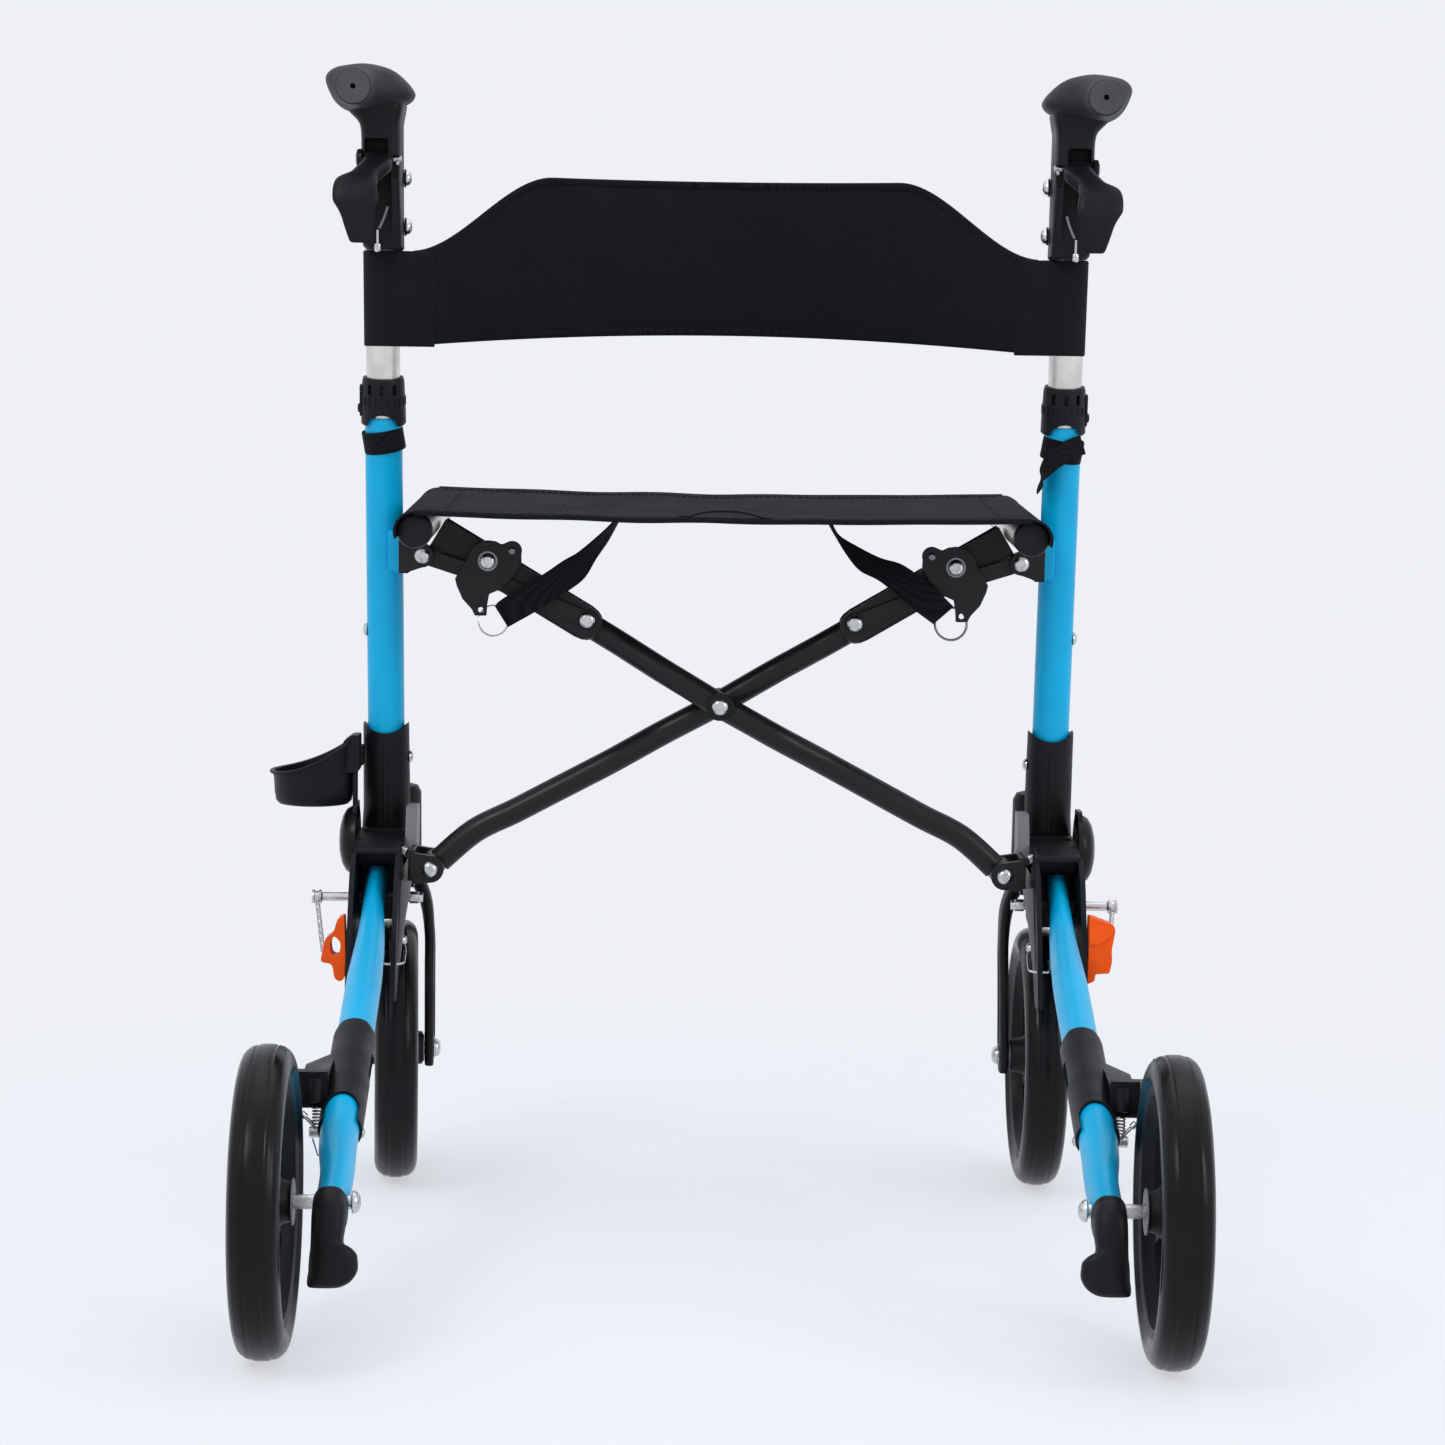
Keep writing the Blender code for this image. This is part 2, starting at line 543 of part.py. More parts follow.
def build_toggle(prefix, side, frame, arm_axis):
    """Bracket on the upright, link and toggle bar that straighten to hold the frame open."""
    low, high = sorted((side * 0.2422, side * 0.2340))
    bracket = make_solid(prefix + "_seat_bracket", block((low, 0.4600, 0.4710), (high, 0.5110, 0.4925)),
                         "black_paint", frame)
    ear = mirrored([(0.2380, 0.4925)] + arc(LINK_PIVOT, 0.0090, 90, 270, 8) + [(0.2380, 0.4710)], side)
    for layer in ((0.4605, 0.4649), LAYER_TOGGLE):
        join(bracket, plate(ear, "Y", *layer))
    pivot = Vector((side * LINK_PIVOT[0], 0.0, LINK_PIVOT[1]))
    join(bracket, cylinder(pivot + Vector((0, 0.4585, 0)), pivot + Vector((0, 0.4720, 0)), 0.0040, 14))
    link_axis = make_axis(prefix + "_link_axis", pivot, frame)
    outline = mirrored(bar_outline(LINK_PIVOT, LINK_KNEE, 0.0060), side)
    link = make_solid(prefix + "_frame_link", plate(outline, "Y", *LAYER_LINK), "black_paint", link_axis)
    cut(link, cylinder(pivot + Vector((0, 0.45, 0)), pivot + Vector((0, 0.48, 0)), 0.0043, 14))
    hinge = Vector((side * TOGGLE_PIVOT[0], 0.0, TOGGLE_PIVOT[1]))
    toggle_axis = make_axis(prefix + "_toggle_axis", hinge, arm_axis)
    outline = mirrored(bar_outline(TOGGLE_PIVOT, LINK_KNEE, 0.0060), side)
    make_solid(prefix + "_toggle_bar", plate(outline, "Y", *LAYER_TOGGLE), "black_paint", toggle_axis)


def build_hook(prefix, side, arm_axis):
    """Latch hook on the seat arm, with a tail for the pull ring."""
    hinge = Vector((side * HOOK_PIVOT[0], 0.0, HOOK_PIVOT[1]))
    axis = make_axis(prefix + "_hook_axis", hinge, arm_axis)
    outline = arc((0.1572, 0.4891), 0.0074, 200, 60, 8) + [(0.1650, 0.4938), (0.1700, 0.4962)]
    outline += arc((0.1753, 0.4812), 0.0155, 105, 5, 6)
    outline += [(0.1960, 0.4740), (0.1998, 0.4680), (0.1985, 0.4625), (0.1941, 0.4526), (0.1870, 0.4448),
            (0.1848, 0.4402),
                (0.1760, 0.4402), (0.1755, 0.4485), (0.1742, 0.4564), (0.1660, 0.4600), (0.1560, 0.4700),
                (0.1500, 0.4800)]
    hook = make_solid(prefix + "_latch_hook", plate(mirrored(outline, side), "Y", *LAYER_HOOK),
            "black_paint", axis)
    boss_start = hinge + Vector((0, LAYER_HOOK[1] - 0.0010, 0))
    boss_end = hinge + Vector((0, BRACE_Y - ARM_HALF_Y - GAP, 0))
    join(hook, cylinder(boss_start, boss_end, 0.0050, 14))
    cut(hook, cylinder((side * 0.1803, 0.45, 0.4445), (side * 0.1803, 0.48, 0.4445), 0.0021, 10))


def build_clevis(prefix, side, frame):
    """Bolted fork on the inside of the leg housing that carries the foot of a brace tube."""
    low, high = sorted((side * 0.2332, side * 0.2290))
    clevis = make_solid(prefix + "_brace_clevis", block((low, 0.4620, 0.2335), (high, 0.5100, 0.2625)),
                        "black_paint", frame)
    outline = [(0.2310, 0.2360), (0.2310, 0.2600)] + arc((FOOT_X, FOOT_Z), 0.0105, 90, 270, 8)
    outline = mirrored(outline, side)
    foot = Vector((side * FOOT_X, 0.0, FOOT_Z))
    for layer in ((0.4625, 0.4682), (0.5038, 0.5095)):
        join(clevis, plate(outline, "Y", *layer))
    join(clevis, cylinder(foot + Vector((0, 0.4600, 0)), foot + Vector((0, 0.5120, 0)), 0.0040, 16))


# --- handle: post, housing, grip and brake lever -------------------------------------------------
def build_handle(prefix, side, frame):
    x = side * UPRIGHT_X
    axis = make_axis(prefix + "_handle_axis", lean_point(x, UPRIGHT_HIGH_Z), frame)
    post = cylinder(lean_point(x, POST_LOW_Z), lean_point(x, POST_HIGH_Z), POST_RADIUS, 24)
    make_solid(prefix + "_height_post", post, "aluminium_tube", axis)
    bottom, top = lean_point(x, 0.7140), lean_point(x, 0.8060)
    length = (top - bottom).length
    body = turned(bottom, lean_axis(), [(0, 0.0154), (0.004, 0.0162), (length, 0.0160)], 24)
    housing = make_solid(prefix + "_handle_housing", body, "black_plastic", axis)
    fin = [(0.4400, 0.7600), (0.4270, 0.7660), (0.4240, 0.7765), (0.4280, 0.7900), (0.4200, 0.8090),
           (0.4560, 0.8150), (0.4780, 0.8060), (0.4700, 0.7600)]
    low, high = sorted((side * 0.2388, side * 0.2714))
    join(housing, plate(fin, "X", low, high))
    slot_low, slot_high = sorted((side * 0.2452, side * 0.2665))
    cut(housing, plate([(0.4000, 0.7560), (0.4000, 0.7910), (0.4415, 0.7900), (0.4420, 0.7560)], "X",
            slot_low, slot_high))
    cut(housing, cylinder(lean_point(x, 0.7000), lean_point(x, POST_HIGH_Z + 0.0003), POST_RADIUS + GAP, 24))
    hub = (LEVER_AXIS[0], LEVER_AXIS[1])
    cut(housing, cylinder((side * 0.2000, *hub), (side * 0.3000, *hub), 0.0028, 12))
    build_grip(prefix, side, axis)
    build_lever(prefix, side, axis)
    return axis


def build_grip(prefix, side, axis):
    """Soft grip whose forward end spreads into a palm wing."""
    stations = [(0.3660, 0.80, 0.0), (0.3680, 1.0, 0.0), (0.3850, 1.0, 0.0), (0.3930, 1.0, 0.15),
            (0.4030, 1.0, 0.40),
                (0.4130, 1.0, 0.75), (0.4240, 1.0, 0.97), (0.4380, 1.0, 1.0), (0.4520, 0.97, 1.0),
                (0.4600, 0.86, 1.0),
                (0.4650, 0.68, 1.0), (0.4680, 0.42, 1.0)]
    rings = []
    for y, scale, share in stations:
        ring = []
        for across, up in WING:
            heading = math.atan2(up + GRIP_DROP, across)
            round_x = GRIP_RADIUS * math.cos(heading)
            round_z = GRIP_RADIUS * math.sin(heading) - GRIP_DROP
            middle = -0.0060 * share
            x = middle + (round_x + (across - round_x) * share - middle) * scale
            z = (round_z + (up - round_z) * share) * scale
            ring.append(Vector((side * (GRIP_X + x), y, GRIP_Z + z)))
        rings.append(ring)
    grip = make_solid(prefix + "_handle_grip", loft(rings), "grip_rubber", axis)
    eye_z = GRIP_Z - GRIP_DROP
    cut(grip, cylinder((side * GRIP_X, 0.3600, eye_z), (side * GRIP_X, 0.3700, eye_z), 0.0022, 10))
    seat = [(0.4100, 0.7500), (0.4100, 0.8091), (0.4200, 0.8093), (0.4560, 0.8153), (0.4781, 0.8063),
            (0.4800, 0.7500)]
    low, high = sorted((side * 0.2380, side * 0.2722))
    cut(grip, plate(seat, "X", low, high))


def build_lever(prefix, side, parent):
    """Brake lever: squeezed up towards the grip; its hub turns between the housing's ears."""
    axis = make_axis(prefix + "_brake_lever_axis", (side * GRIP_X, *LEVER_AXIS), parent)
    hub = cylinder((side * 0.2456, *LEVER_AXIS), (side * 0.2661, *LEVER_AXIS), LEVER_HUB, 18)
    lever = make_solid(prefix + "_brake_lever", hub, "black_plastic", axis)
    stations = [(0.4330, 0.7765, 0.2558, 0.0098), (0.4220, 0.7750, 0.2558, 0.0098),
            (0.4140, 0.7722, 0.2580, 0.0092),
                (0.4040, 0.7665, 0.2612, 0.0104), (0.3945, 0.7605, 0.2680, 0.0142),
                (0.3880, 0.7540, 0.2692, 0.0156),
                (0.3850, 0.7450, 0.2688, 0.0160), (0.3845, 0.7390, 0.2690, 0.0125),
                (0.3850, 0.7330, 0.2697, 0.0094),
                (0.3865, 0.7250, 0.2685, 0.0088), (0.3890, 0.7165, 0.2668, 0.0070)]
    points = [(side * x, y, z) for y, z, x, _ in stations]
    sizes = [(half, 0.0038) for _, _, _, half in stations]
    join(lever, pipe(points, sizes, (1, 0, 0), 16, 3.0))
    tang = [(0.4300, 0.7740), (0.4260, 0.7600), (0.4285, 0.7420), (0.4335, 0.7400), (0.4365, 0.7600),
            (0.4380, 0.7750)]
    low, high = sorted((side * 0.2560, side * 0.2640))
    join(lever, plate(tang, "X", low, high))
    cut(lever, cylinder((side * 0.2000, *LEVER_AXIS), (side * 0.3000, *LEVER_AXIS), 0.0028, 12))


def build_release(prefix, side, frame):
    """Orange finger lever that lets the rear leg fold."""
    axis = make_axis(prefix + "_release_axis", (side * 0.2850, 0.4300, 0.1990), frame)
    outline = [(0.2774, 0.2187), (0.2823, 0.2164), (0.2856, 0.2051), (0.2912, 0.2020), (0.2951, 0.1838),
               (0.2862, 0.1824), (0.2843, 0.1712), (0.2799, 0.1690), (0.2769, 0.1720), (0.2762, 0.1886)]
    lever = make_solid(prefix + "_release_lever", plate(mirrored(outline, side), "Y", 0.4150, 0.4310),
            "orange_plastic", axis)
    hole = [(0.2800, 0.1990), (0.2800, 0.1930), (0.2830, 0.1880), (0.2870, 0.1900), (0.2880, 0.1980),
            (0.2850, 0.2040)]
    cut(lever, plate(mirrored(hole, side), "Y", 0.4000, 0.4500))


# --- fabrics and the cup ------------------------------------------------------------------------
def curved_sheet(stations, thickness, normal_y):
    """A thin sheet swept through stations of (x, y, low z, high z), thickened along Y or Z."""
    rings = []
    for x, y, low, high in stations:
        if normal_y:
            rings.append([Vector((x, y, low)), Vector((x, y, high)), Vector((x, y + thickness, high)),
                          Vector((x, y + thickness, low))])
        else:
            rings.append([Vector((x, low, y)), Vector((x, high, y)), Vector((x, high, y + thickness)),
                          Vector((x, low, y + thickness))])
    return loft(rings)


def build_seat(axis):
    """Sling seat stretched between the tops of the two rails."""
    half, sag = 0.2290, 0.0060
    stations = []
    for step in range(13):
        x = -half + 2.0 * half * step / 12
        z = RAIL_Z + RAIL_LIFT + RAIL_RADIUS + 0.0004 - sag * (1.0 - (x / half) ** 2)
        stations.append((x, z, 0.3780, 0.6420))
    sheet = curved_sheet(stations, 0.0028, False)
    for vert in sheet.verts:
        vert.co.z += RAIL_TILT * (vert.co.y - BRACE_Y)
    make_solid("seat_fabric", sheet, "black_fabric", axis)


def build_backrest(axis):
    """Padded strap hung behind the two handle posts and bowed forwards between them."""
    half = 0.2740
    stations = []
    for step in range(21):
        x = -half + 2.0 * half * step / 20
        share = 1.0 - (x / half) ** 2
        fall = min(1.0, max(0.0, (abs(x) - 0.1330) / 0.1030))
        y = 0.4420 + 0.160 * max(0.0, 1.0 - (x / 0.2300) ** 2) ** 0.9
        stations.append((x, y, 0.6420 + 0.0135 * share,
                0.7110 + 0.0565 * (1.0 - fall * fall * (3.0 - 2.0 * fall))))
    make_solid("backrest_fabric", curved_sheet(stations, 0.0040, True), "black_fabric", axis)


def build_cup_holder(frame):
    """Small cup that clips to the left upright's housing and holds a stick."""
    centre = Vector((-0.3070, 0.5150, 0.0))
    radius, wall = 0.0300, 0.0018
    rings = []
    for level, size in ((0.2890, radius - 0.0040), (0.2930, radius - 0.0012), (0.3120, radius),
            (0.3400, radius + 0.0015),
                        (0.3400, radius + 0.0015 - wall), (0.3120, radius - wall),
                        (0.2940, radius - wall - 0.0012),
                        (0.2912, radius - wall - 0.0040)):
        ring = superellipse(centre + Vector((0, 0, level)), (1, 0, 0), (0, 1, 0), size, size, 24)
        if level > 0.33:
            for point in ring:
                point.z += -0.0100 * (centre.x - point.x) / size - 0.0080
        rings.append(ring)
    cup = make_solid("cup_holder", loft(rings), "black_plastic", frame)
    join(cup, block((-0.2815, 0.5050, 0.2960), (-0.2745, 0.5230, 0.3400)))


# --- assembly -----------------------------------------------------------------------------------
def build_side(prefix, side, frame):
    build_upright(prefix, side, frame)
    build_housing(prefix, side, frame)
    build_clevis(prefix, side, frame)
    leg = make_axis(prefix + "_leg_axis", (side * LEG_PIVOT[0], *LEG_PIVOT[1:]), frame, -side * LEG_SPLAY,
            own=True)
    build_leg(prefix, side, leg)
    build_kick_step(prefix, side, leg)
    build_leg_shaft(prefix, side, leg)
    build_brake_bracket(prefix, side, leg)
    build_brake_arm(prefix, side, leg)
    build_rear_axle(prefix + "_rear_axle", side, leg)
    hub = (side * WHEEL_OFFSET, -AXLE_BACK, -AXLE_DOWN)
    build_wheel(prefix + "_rear", make_axis(prefix + "_rear_wheel_axis", hub, leg, 0.0, own=True),
            REAR_HUB_HALF)
    build_release(prefix, side, frame)
    swivel = LEFT_SWIVEL if side < 0 else 0.0
    castor = make_axis(prefix + "_castor_axis", (side * CASTOR_X, CASTOR_Y, 0.0), frame, swivel, own=True)
    build_castor(prefix, castor)
    hub = (0.0, -CASTOR_TRAIL, WHEEL_RADIUS)
    build_wheel(prefix + "_front", make_axis(prefix + "_front_wheel_axis", hub, castor, 0.0, own=True),
            FRONT_HUB_HALF)


def main():
    clear_scene()
    for name in COLOURS:
        MATERIALS[name] = make_material(name)
    frame = make_axis("assembly", (MIDDLE_X, MIDDLE_Y, 0.0))
    ORIGINS["assembly"] = Vector((0, 0, 0))
    for prefix, side in (("left", -1), ("right", 1)):
        build_side(prefix, side, frame)
    brace_b = make_axis("brace_b_axis", (-FOOT_X, BRACE_Y, FOOT_Z), frame)
    brace_a = make_axis("brace_a_axis", (0.0, BRACE_Y, CROSS_Z), brace_b)
    build_brace("brace_b", 1, brace_b, 1)
    build_brace("brace_a", -1, brace_a, -1)
    for prefix, side, axis in (("right", 1, brace_b), ("left", -1, brace_a)):
        build_seat_arm(prefix, side, axis)
        build_toggle(prefix, side, frame, axis)
        build_hook(prefix, side, axis)
    profile = [(0.0, 0.0060), (0.0030, 0.0085), (0.0050, 0.0085), (0.0050, 0.0040), (0.0520, 0.0040),
            (0.0520, 0.0075), (0.0570, 0.0070)]
    bolt = turned((0.0, 0.4597, CROSS_Z), (0, 1, 0), profile, 18)
    make_solid("centre_pivot_bolt", bolt, "zinc_steel", brace_b)
    build_seat(brace_a)
    left_handle = build_handle("left", -1, frame)
    build_handle("right", 1, frame)
    build_backrest(left_handle)
    build_cup_holder(frame)


main()
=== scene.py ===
"""Detailed looks for a folding walking frame on four wheels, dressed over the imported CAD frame.

Pieces are drawn in the frame's own coordinates (x = 0 in its middle plane, y = 0 at the rear axle,
z = 0 on the floor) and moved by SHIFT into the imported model's coordinates.
"""

import math

import bmesh
import bpy
from mathutils import Matrix, Vector


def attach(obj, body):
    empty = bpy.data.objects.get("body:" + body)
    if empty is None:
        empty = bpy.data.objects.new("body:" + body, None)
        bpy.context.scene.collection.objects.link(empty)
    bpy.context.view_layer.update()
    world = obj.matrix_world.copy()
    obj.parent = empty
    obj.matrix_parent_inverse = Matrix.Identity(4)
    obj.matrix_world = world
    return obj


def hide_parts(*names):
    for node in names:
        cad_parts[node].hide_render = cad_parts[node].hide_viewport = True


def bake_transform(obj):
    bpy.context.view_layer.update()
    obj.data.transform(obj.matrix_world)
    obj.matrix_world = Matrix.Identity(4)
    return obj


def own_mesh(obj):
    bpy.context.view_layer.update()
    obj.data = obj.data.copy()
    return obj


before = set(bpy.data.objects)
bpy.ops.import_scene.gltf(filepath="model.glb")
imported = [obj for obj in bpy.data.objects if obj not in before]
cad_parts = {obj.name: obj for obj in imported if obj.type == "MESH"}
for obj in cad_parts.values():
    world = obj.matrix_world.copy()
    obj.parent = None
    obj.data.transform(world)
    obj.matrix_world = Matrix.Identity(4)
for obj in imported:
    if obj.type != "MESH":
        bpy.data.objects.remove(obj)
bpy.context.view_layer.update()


def mm(points):
    """Points given in millimetres, in metres."""
    return [tuple(value / 1000 for value in point) for point in points]


SHIFT = Vector((0.0148, -0.2706, 0.0))
LEAN = math.radians(9.6)
LEAN_TAN = math.tan(LEAN)
UPRIGHT_X, UPRIGHT_Y, UPRIGHT_Z = 0.2562, 0.532, 0.346
POST_R = 0.0127
LEG_PIVOT = (0.257, 0.47, 0.225)
SPLAY = math.radians(1.1)
AXLE_BACK, AXLE_DOWN = 0.47, 0.125
LEG_LENGTH = math.hypot(AXLE_BACK, AXLE_DOWN)
LEG_SLOPE = math.atan2(AXLE_DOWN, AXLE_BACK)
WHEEL_OFFSET, WHEEL_R = 0.0395, 0.1
CASTOR_X, CASTOR_Y, TRAIL = 0.2495, 0.56, 0.04
LEFT_SWIVEL = math.radians(4.6)
BRACE_Y, CROSS_Z = 0.486, 0.3737
FOOT = (0.2173, 0.2476)
RAIL = (0.225, 0.507)
RAIL_LIFT, RAIL_TILT = 0.0025, 0.03
ARM_JOINT = (0.1008, 0.4375)
EAR = (0.2245, 0.4845)
KNEE = (0.1836, 0.4715)
HOOK_BOLT = (0.1753, 0.4812)
REAR_HUB, FRONT_HUB = 0.0165, 0.0205
GRIP_X, GRIP_Z = 0.269, 0.8258
GRIP_R, GRIP_DROP = 0.0132, 0.0015
WING = mm([(26, 8.3), (19.8, 15.7), (7.6, 18.5), (-5.8, 19.3), (-21.9, 15.5), (-32.7, 7.4), (-38.6, -0.4),
    (-38, -4.8), (-35, -8), (-29, -10.6), (-15, -12), (-3, -13.5), (6.8, -15), (14.9, -12.2), (21.3, -4.9)])
LEVER_Y, LEVER_Z = 0.433, 0.7765
FRAME = Matrix.Translation(SHIFT)
SIDES = (("left", -1), ("right", 1))


def leg_place(side):
    """Pivot of a rear leg, turned by its splay; leg pieces are drawn round it."""
    pivot = Vector((side * LEG_PIVOT[0], LEG_PIVOT[1], LEG_PIVOT[2]))
    return FRAME @ Matrix.Translation(pivot) @ Matrix.Rotation(-side * SPLAY, 4, "Z")


def castor_place(side):
    """Swivel axis of a front castor at floor height."""
    turn = LEFT_SWIVEL if side < 0 else 0.0
    return FRAME @ Matrix.Translation((side * CASTOR_X, CASTOR_Y, 0.0)) @ Matrix.Rotation(turn, 4, "Z")


# --- mesh helpers -----------------------------------------------------------------------------
def ring(centre, across, along, half_a, half_b, count=32, power=2.0):
    """Superellipse of points round a centre; power 2 is an ellipse, more is boxier."""
    points = []
    for step in range(count):
        angle = 2.0 * math.pi * step / count
        c, s = math.cos(angle), math.sin(angle)
        a = math.copysign(abs(c) ** (2.0 / power), c)
        b = math.copysign(abs(s) ** (2.0 / power), s)
        points.append(Vector(centre) + Vector(across) * (half_a * a) + Vector(along) * (half_b * b))
    return points


def loft(rings, closed=False):
    """Skin a stack of rings; an open stack gets flat ends."""
    mesh = bmesh.new()
    rows = [[mesh.verts.new(point) for point in row] for row in rings]
    pairs = list(zip(rows, rows[1:]))
    if closed:
        pairs.append((rows[-1], rows[0]))
    for first, second in pairs:
        for index in range(len(first)):
            after = (index + 1) % len(first)
            mesh.faces.new((first[index], first[after], second[after], second[index]))
    if not closed:
        mesh.faces.new(list(reversed(rows[0])))
        mesh.faces.new(rows[-1])
    bmesh.ops.recalc_face_normals(mesh, faces=mesh.faces)
    return mesh


def square_axes(direction):
    """Two directions square to the given one."""
    direction = Vector(direction).normalized()
    helper = Vector((0, 0, 1)) if abs(direction.z) < 0.9 else Vector((1, 0, 0))
    across = direction.cross(helper).normalized()
    return across, direction.cross(across).normalized()


def turned(origin, direction, profile, count=48, closed=False):
    """A turned piece; profile points are (distance along, radius)."""
    across, along = square_axes(direction)
    direction = Vector(direction).normalized()
    rings = [ring(Vector(origin) + direction * reach, across, along, radius, radius, count) for reach,
        radius in profile]
    return loft(rings, closed)


def rod(start, end, radius, count=24):
    """Round bar with small chamfers."""
    start, end = Vector(start), Vector(end)
    length = (end - start).length
    chamfer = min(0.0008, radius * 0.4, length * 0.3)
    profile = [(0, radius - chamfer), (chamfer, radius), (length - chamfer, radius), (length, radius - chamfer)]
    return turned(start, end - start, profile, count)


def sleeve(start, end, radius, bore, count=48):
    """Round tube with small chamfers."""
    start, end = Vector(start), Vector(end)
    length = (end - start).length
    chamfer = min(0.0006, (radius - bore) * 0.4)
    profile = [(0, bore), (0, radius - chamfer), (chamfer, radius), (length - chamfer, radius),
        (length, radius - chamfer), (length, bore)]
    return turned(start, end - start, profile, count, closed=True)


def spline(p0, p1, p2, p3, t):
    """Catmull-Rom between p1 and p2, for points of any dimension."""
    return tuple(0.5 * (2 * b + (c - a) * t + (2 * a - 5 * b + 4 * c - d) * t * t
        + (3 * b - a - 3 * c + d) * t ** 3) for a, b, c, d in zip(p0, p1, p2, p3))


def smooth_path(points, per=6):
    """Curve through points of any dimension, with per steps between two of them."""
    points = [tuple(point) for point in points]
    padded = [points[0]] + points + [points[-1]]
    result = []
    for index in range(1, len(padded) - 2):
        p0, p1, p2, p3 = padded[index - 1:index + 3]
        for step in range(per):
            result.append(spline(p0, p1, p2, p3, step / per))
    result.append(points[-1])
    return result


def closed_curve(points):
    """Catmull-Rom round a closed outline."""
    count, per = len(points), 4
    result = []
    for index in range(count):
        p0, p1, p2, p3 = points[index - 1], points[index], points[(index + 1) % count], points[(index
            + 2) % count]
        for step in range(per):
            result.append(spline(p0, p1, p2, p3, step / per))
    return result


def sweep(path, sizes, lateral, count=32, power=2.0, level=False):
    """Loft round a path; sizes are (half width along lateral, half height). Level rings stay square to x."""
    path = [Vector(point) for point in path]
    rings = []
    for index, point in enumerate(path):
        heading = path[min(index + 1, len(path) - 1)] - path[max(index - 1, 0)]
        if level:
            heading.x = 0.0
        heading.normalize()
        across = Vector(lateral) - heading * heading.dot(Vector(lateral))
        across.normalize()
        rings.append(ring(point, across, heading.cross(across), sizes[index][0], sizes[index][1], count, power))
    return loft(rings)


def wire(path, radius, count=10):
    """A round wire along a path, with a frame carried along it so that it never twists."""
    path = [Vector(point) for point in path]
    last = len(path) - 1
    rings = []
    across = None
    for index, point in enumerate(path):
        heading = (path[min(index + 1, last)] - path[max(index - 1, 0)]).normalized()
        if across is None:
            across = square_axes(heading)[0]
        across = (across - heading * heading.dot(across)).normalized()
        rings.append(ring(point, across, heading.cross(across), radius, radius, count))
    return loft(rings)


def strap(path, width_axis, width, thickness):
    """A flat strap along a path with rounded edges."""
    return sweep(path, [(width / 2, thickness / 2)] * len(path), width_axis, 12, 4.0)


def prism(outline, axis, low, high):
    """A flat outline in the other two axes, extruded along an axis from low to high."""
    rows = []
    for level in (low, high):
        row = []
        for first, second in outline:
            point = [first, second]
            point.insert("XYZ".index(axis), level)
            row.append(Vector(point))
        rows.append(row)
    return loft(rows)


def slab(low, high):
    """Plain block between two corners."""
    return prism([(low[1], low[2]), (high[1], low[2]), (high[1], high[2]), (low[1], high[2])], "X", low[0],
        high[0])


def arc(centre, radius, start, end, count):
    """Points round part of a circle, in degrees."""
    return [(centre[0] + radius * math.cos(math.radians(start + (end - start) * step / count)),
        centre[1] + radius * math.sin(math.radians(start + (end - start) * step / count)))
        for step in range(count + 1)]


def rounded(outline, radius, count=4):
    """Round each corner of an outline."""
    result = []
    for index, corner in enumerate(outline):
        corner = Vector(corner)
        before = Vector(outline[index - 1]) - corner
        after = Vector(outline[(index + 1) % len(outline)]) - corner
        reach = min(radius, before.length * 0.45, after.length * 0.45)
        first = corner + before.normalized() * reach
        last = corner + after.normalized() * reach
        for step in range(count + 1):
            t = step / count
            result.append(tuple(first * (1 - t) ** 2 + corner * (2 * t * (1 - t)) + last * t * t))
    return result


def sided(points, side):
    """The same points on one side of the middle plane."""
    return [(side * point[0], *point[1:]) for point in points]


def side_plate(outline, side, near, far):
    """A (y, z) outline extruded across x on one side of the middle plane."""
    return prism(outline, "X", *sorted((side * near, side * far)))


def bar(first, second, radius):
    """Outline of a flat bar with round ends."""
    heading = math.degrees(math.atan2(second[1] - first[1], second[0] - first[0]))
    return arc(first, radius, heading + 90, heading + 270, 10) + arc(second, radius, heading - 90, heading + 90,
        10)


def merge(*meshes):
    """Put several shells in one mesh."""
    result = bmesh.new()
    for mesh in meshes:
        data = bpy.data.meshes.new("shell")
        mesh.to_mesh(data)
        mesh.free()
        result.from_mesh(data)
        bpy.data.meshes.remove(data)
    return result


def carve(mesh, tool):
    """Cut one closed mesh out of another now, leaving no helper objects behind."""
    pair = []
    for source in (mesh, tool):
        data = bpy.data.meshes.new("carving")
        source.to_mesh(data)
        source.free()
        thing = bpy.data.objects.new("carving", data)
        bpy.context.scene.collection.objects.link(thing)
        pair.append(thing)
    modifier = pair[0].modifiers.new("cut", "BOOLEAN")
    modifier.operation = "DIFFERENCE"
    modifier.solver = "EXACT"
    modifier.object = pair[1]
    evaluated = pair[0].evaluated_get(bpy.context.evaluated_depsgraph_get())
    result = bmesh.new()
    result.from_mesh(evaluated.to_mesh())
    for thing in pair:
        data = thing.data
        bpy.data.objects.remove(thing, do_unlink=True)
        bpy.data.meshes.remove(data)
    return result


def piece(name, mesh, material, body, stands_for=(), place=FRAME, bevel=0.0, segments=2, angle=35):
    """Turn a bmesh into a finished piece that rides on a body."""
    mesh.transform(place)
    bmesh.ops.recalc_face_normals(mesh, faces=mesh.faces)
    data = bpy.data.meshes.new(name)
    mesh.to_mesh(data)
    mesh.free()
    data.shade_smooth()
    data.set_sharp_from_angle(angle=math.radians(angle))
    thing = bpy.data.objects.new(name, data)
    data.materials.append(MATERIALS[material])
    bpy.context.scene.collection.objects.link(thing)
    if bevel:
        modifier = thing.modifiers.new("edges", "BEVEL")
        modifier.width = bevel
        modifier.segments = segments
        modifier.limit_method = "ANGLE"
        modifier.angle_limit = math.radians(30)
        modifier.harden_normals = True
    if body:
        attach(thing, body)
    if stands_for:
        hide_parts(*stands_for)
    return thing


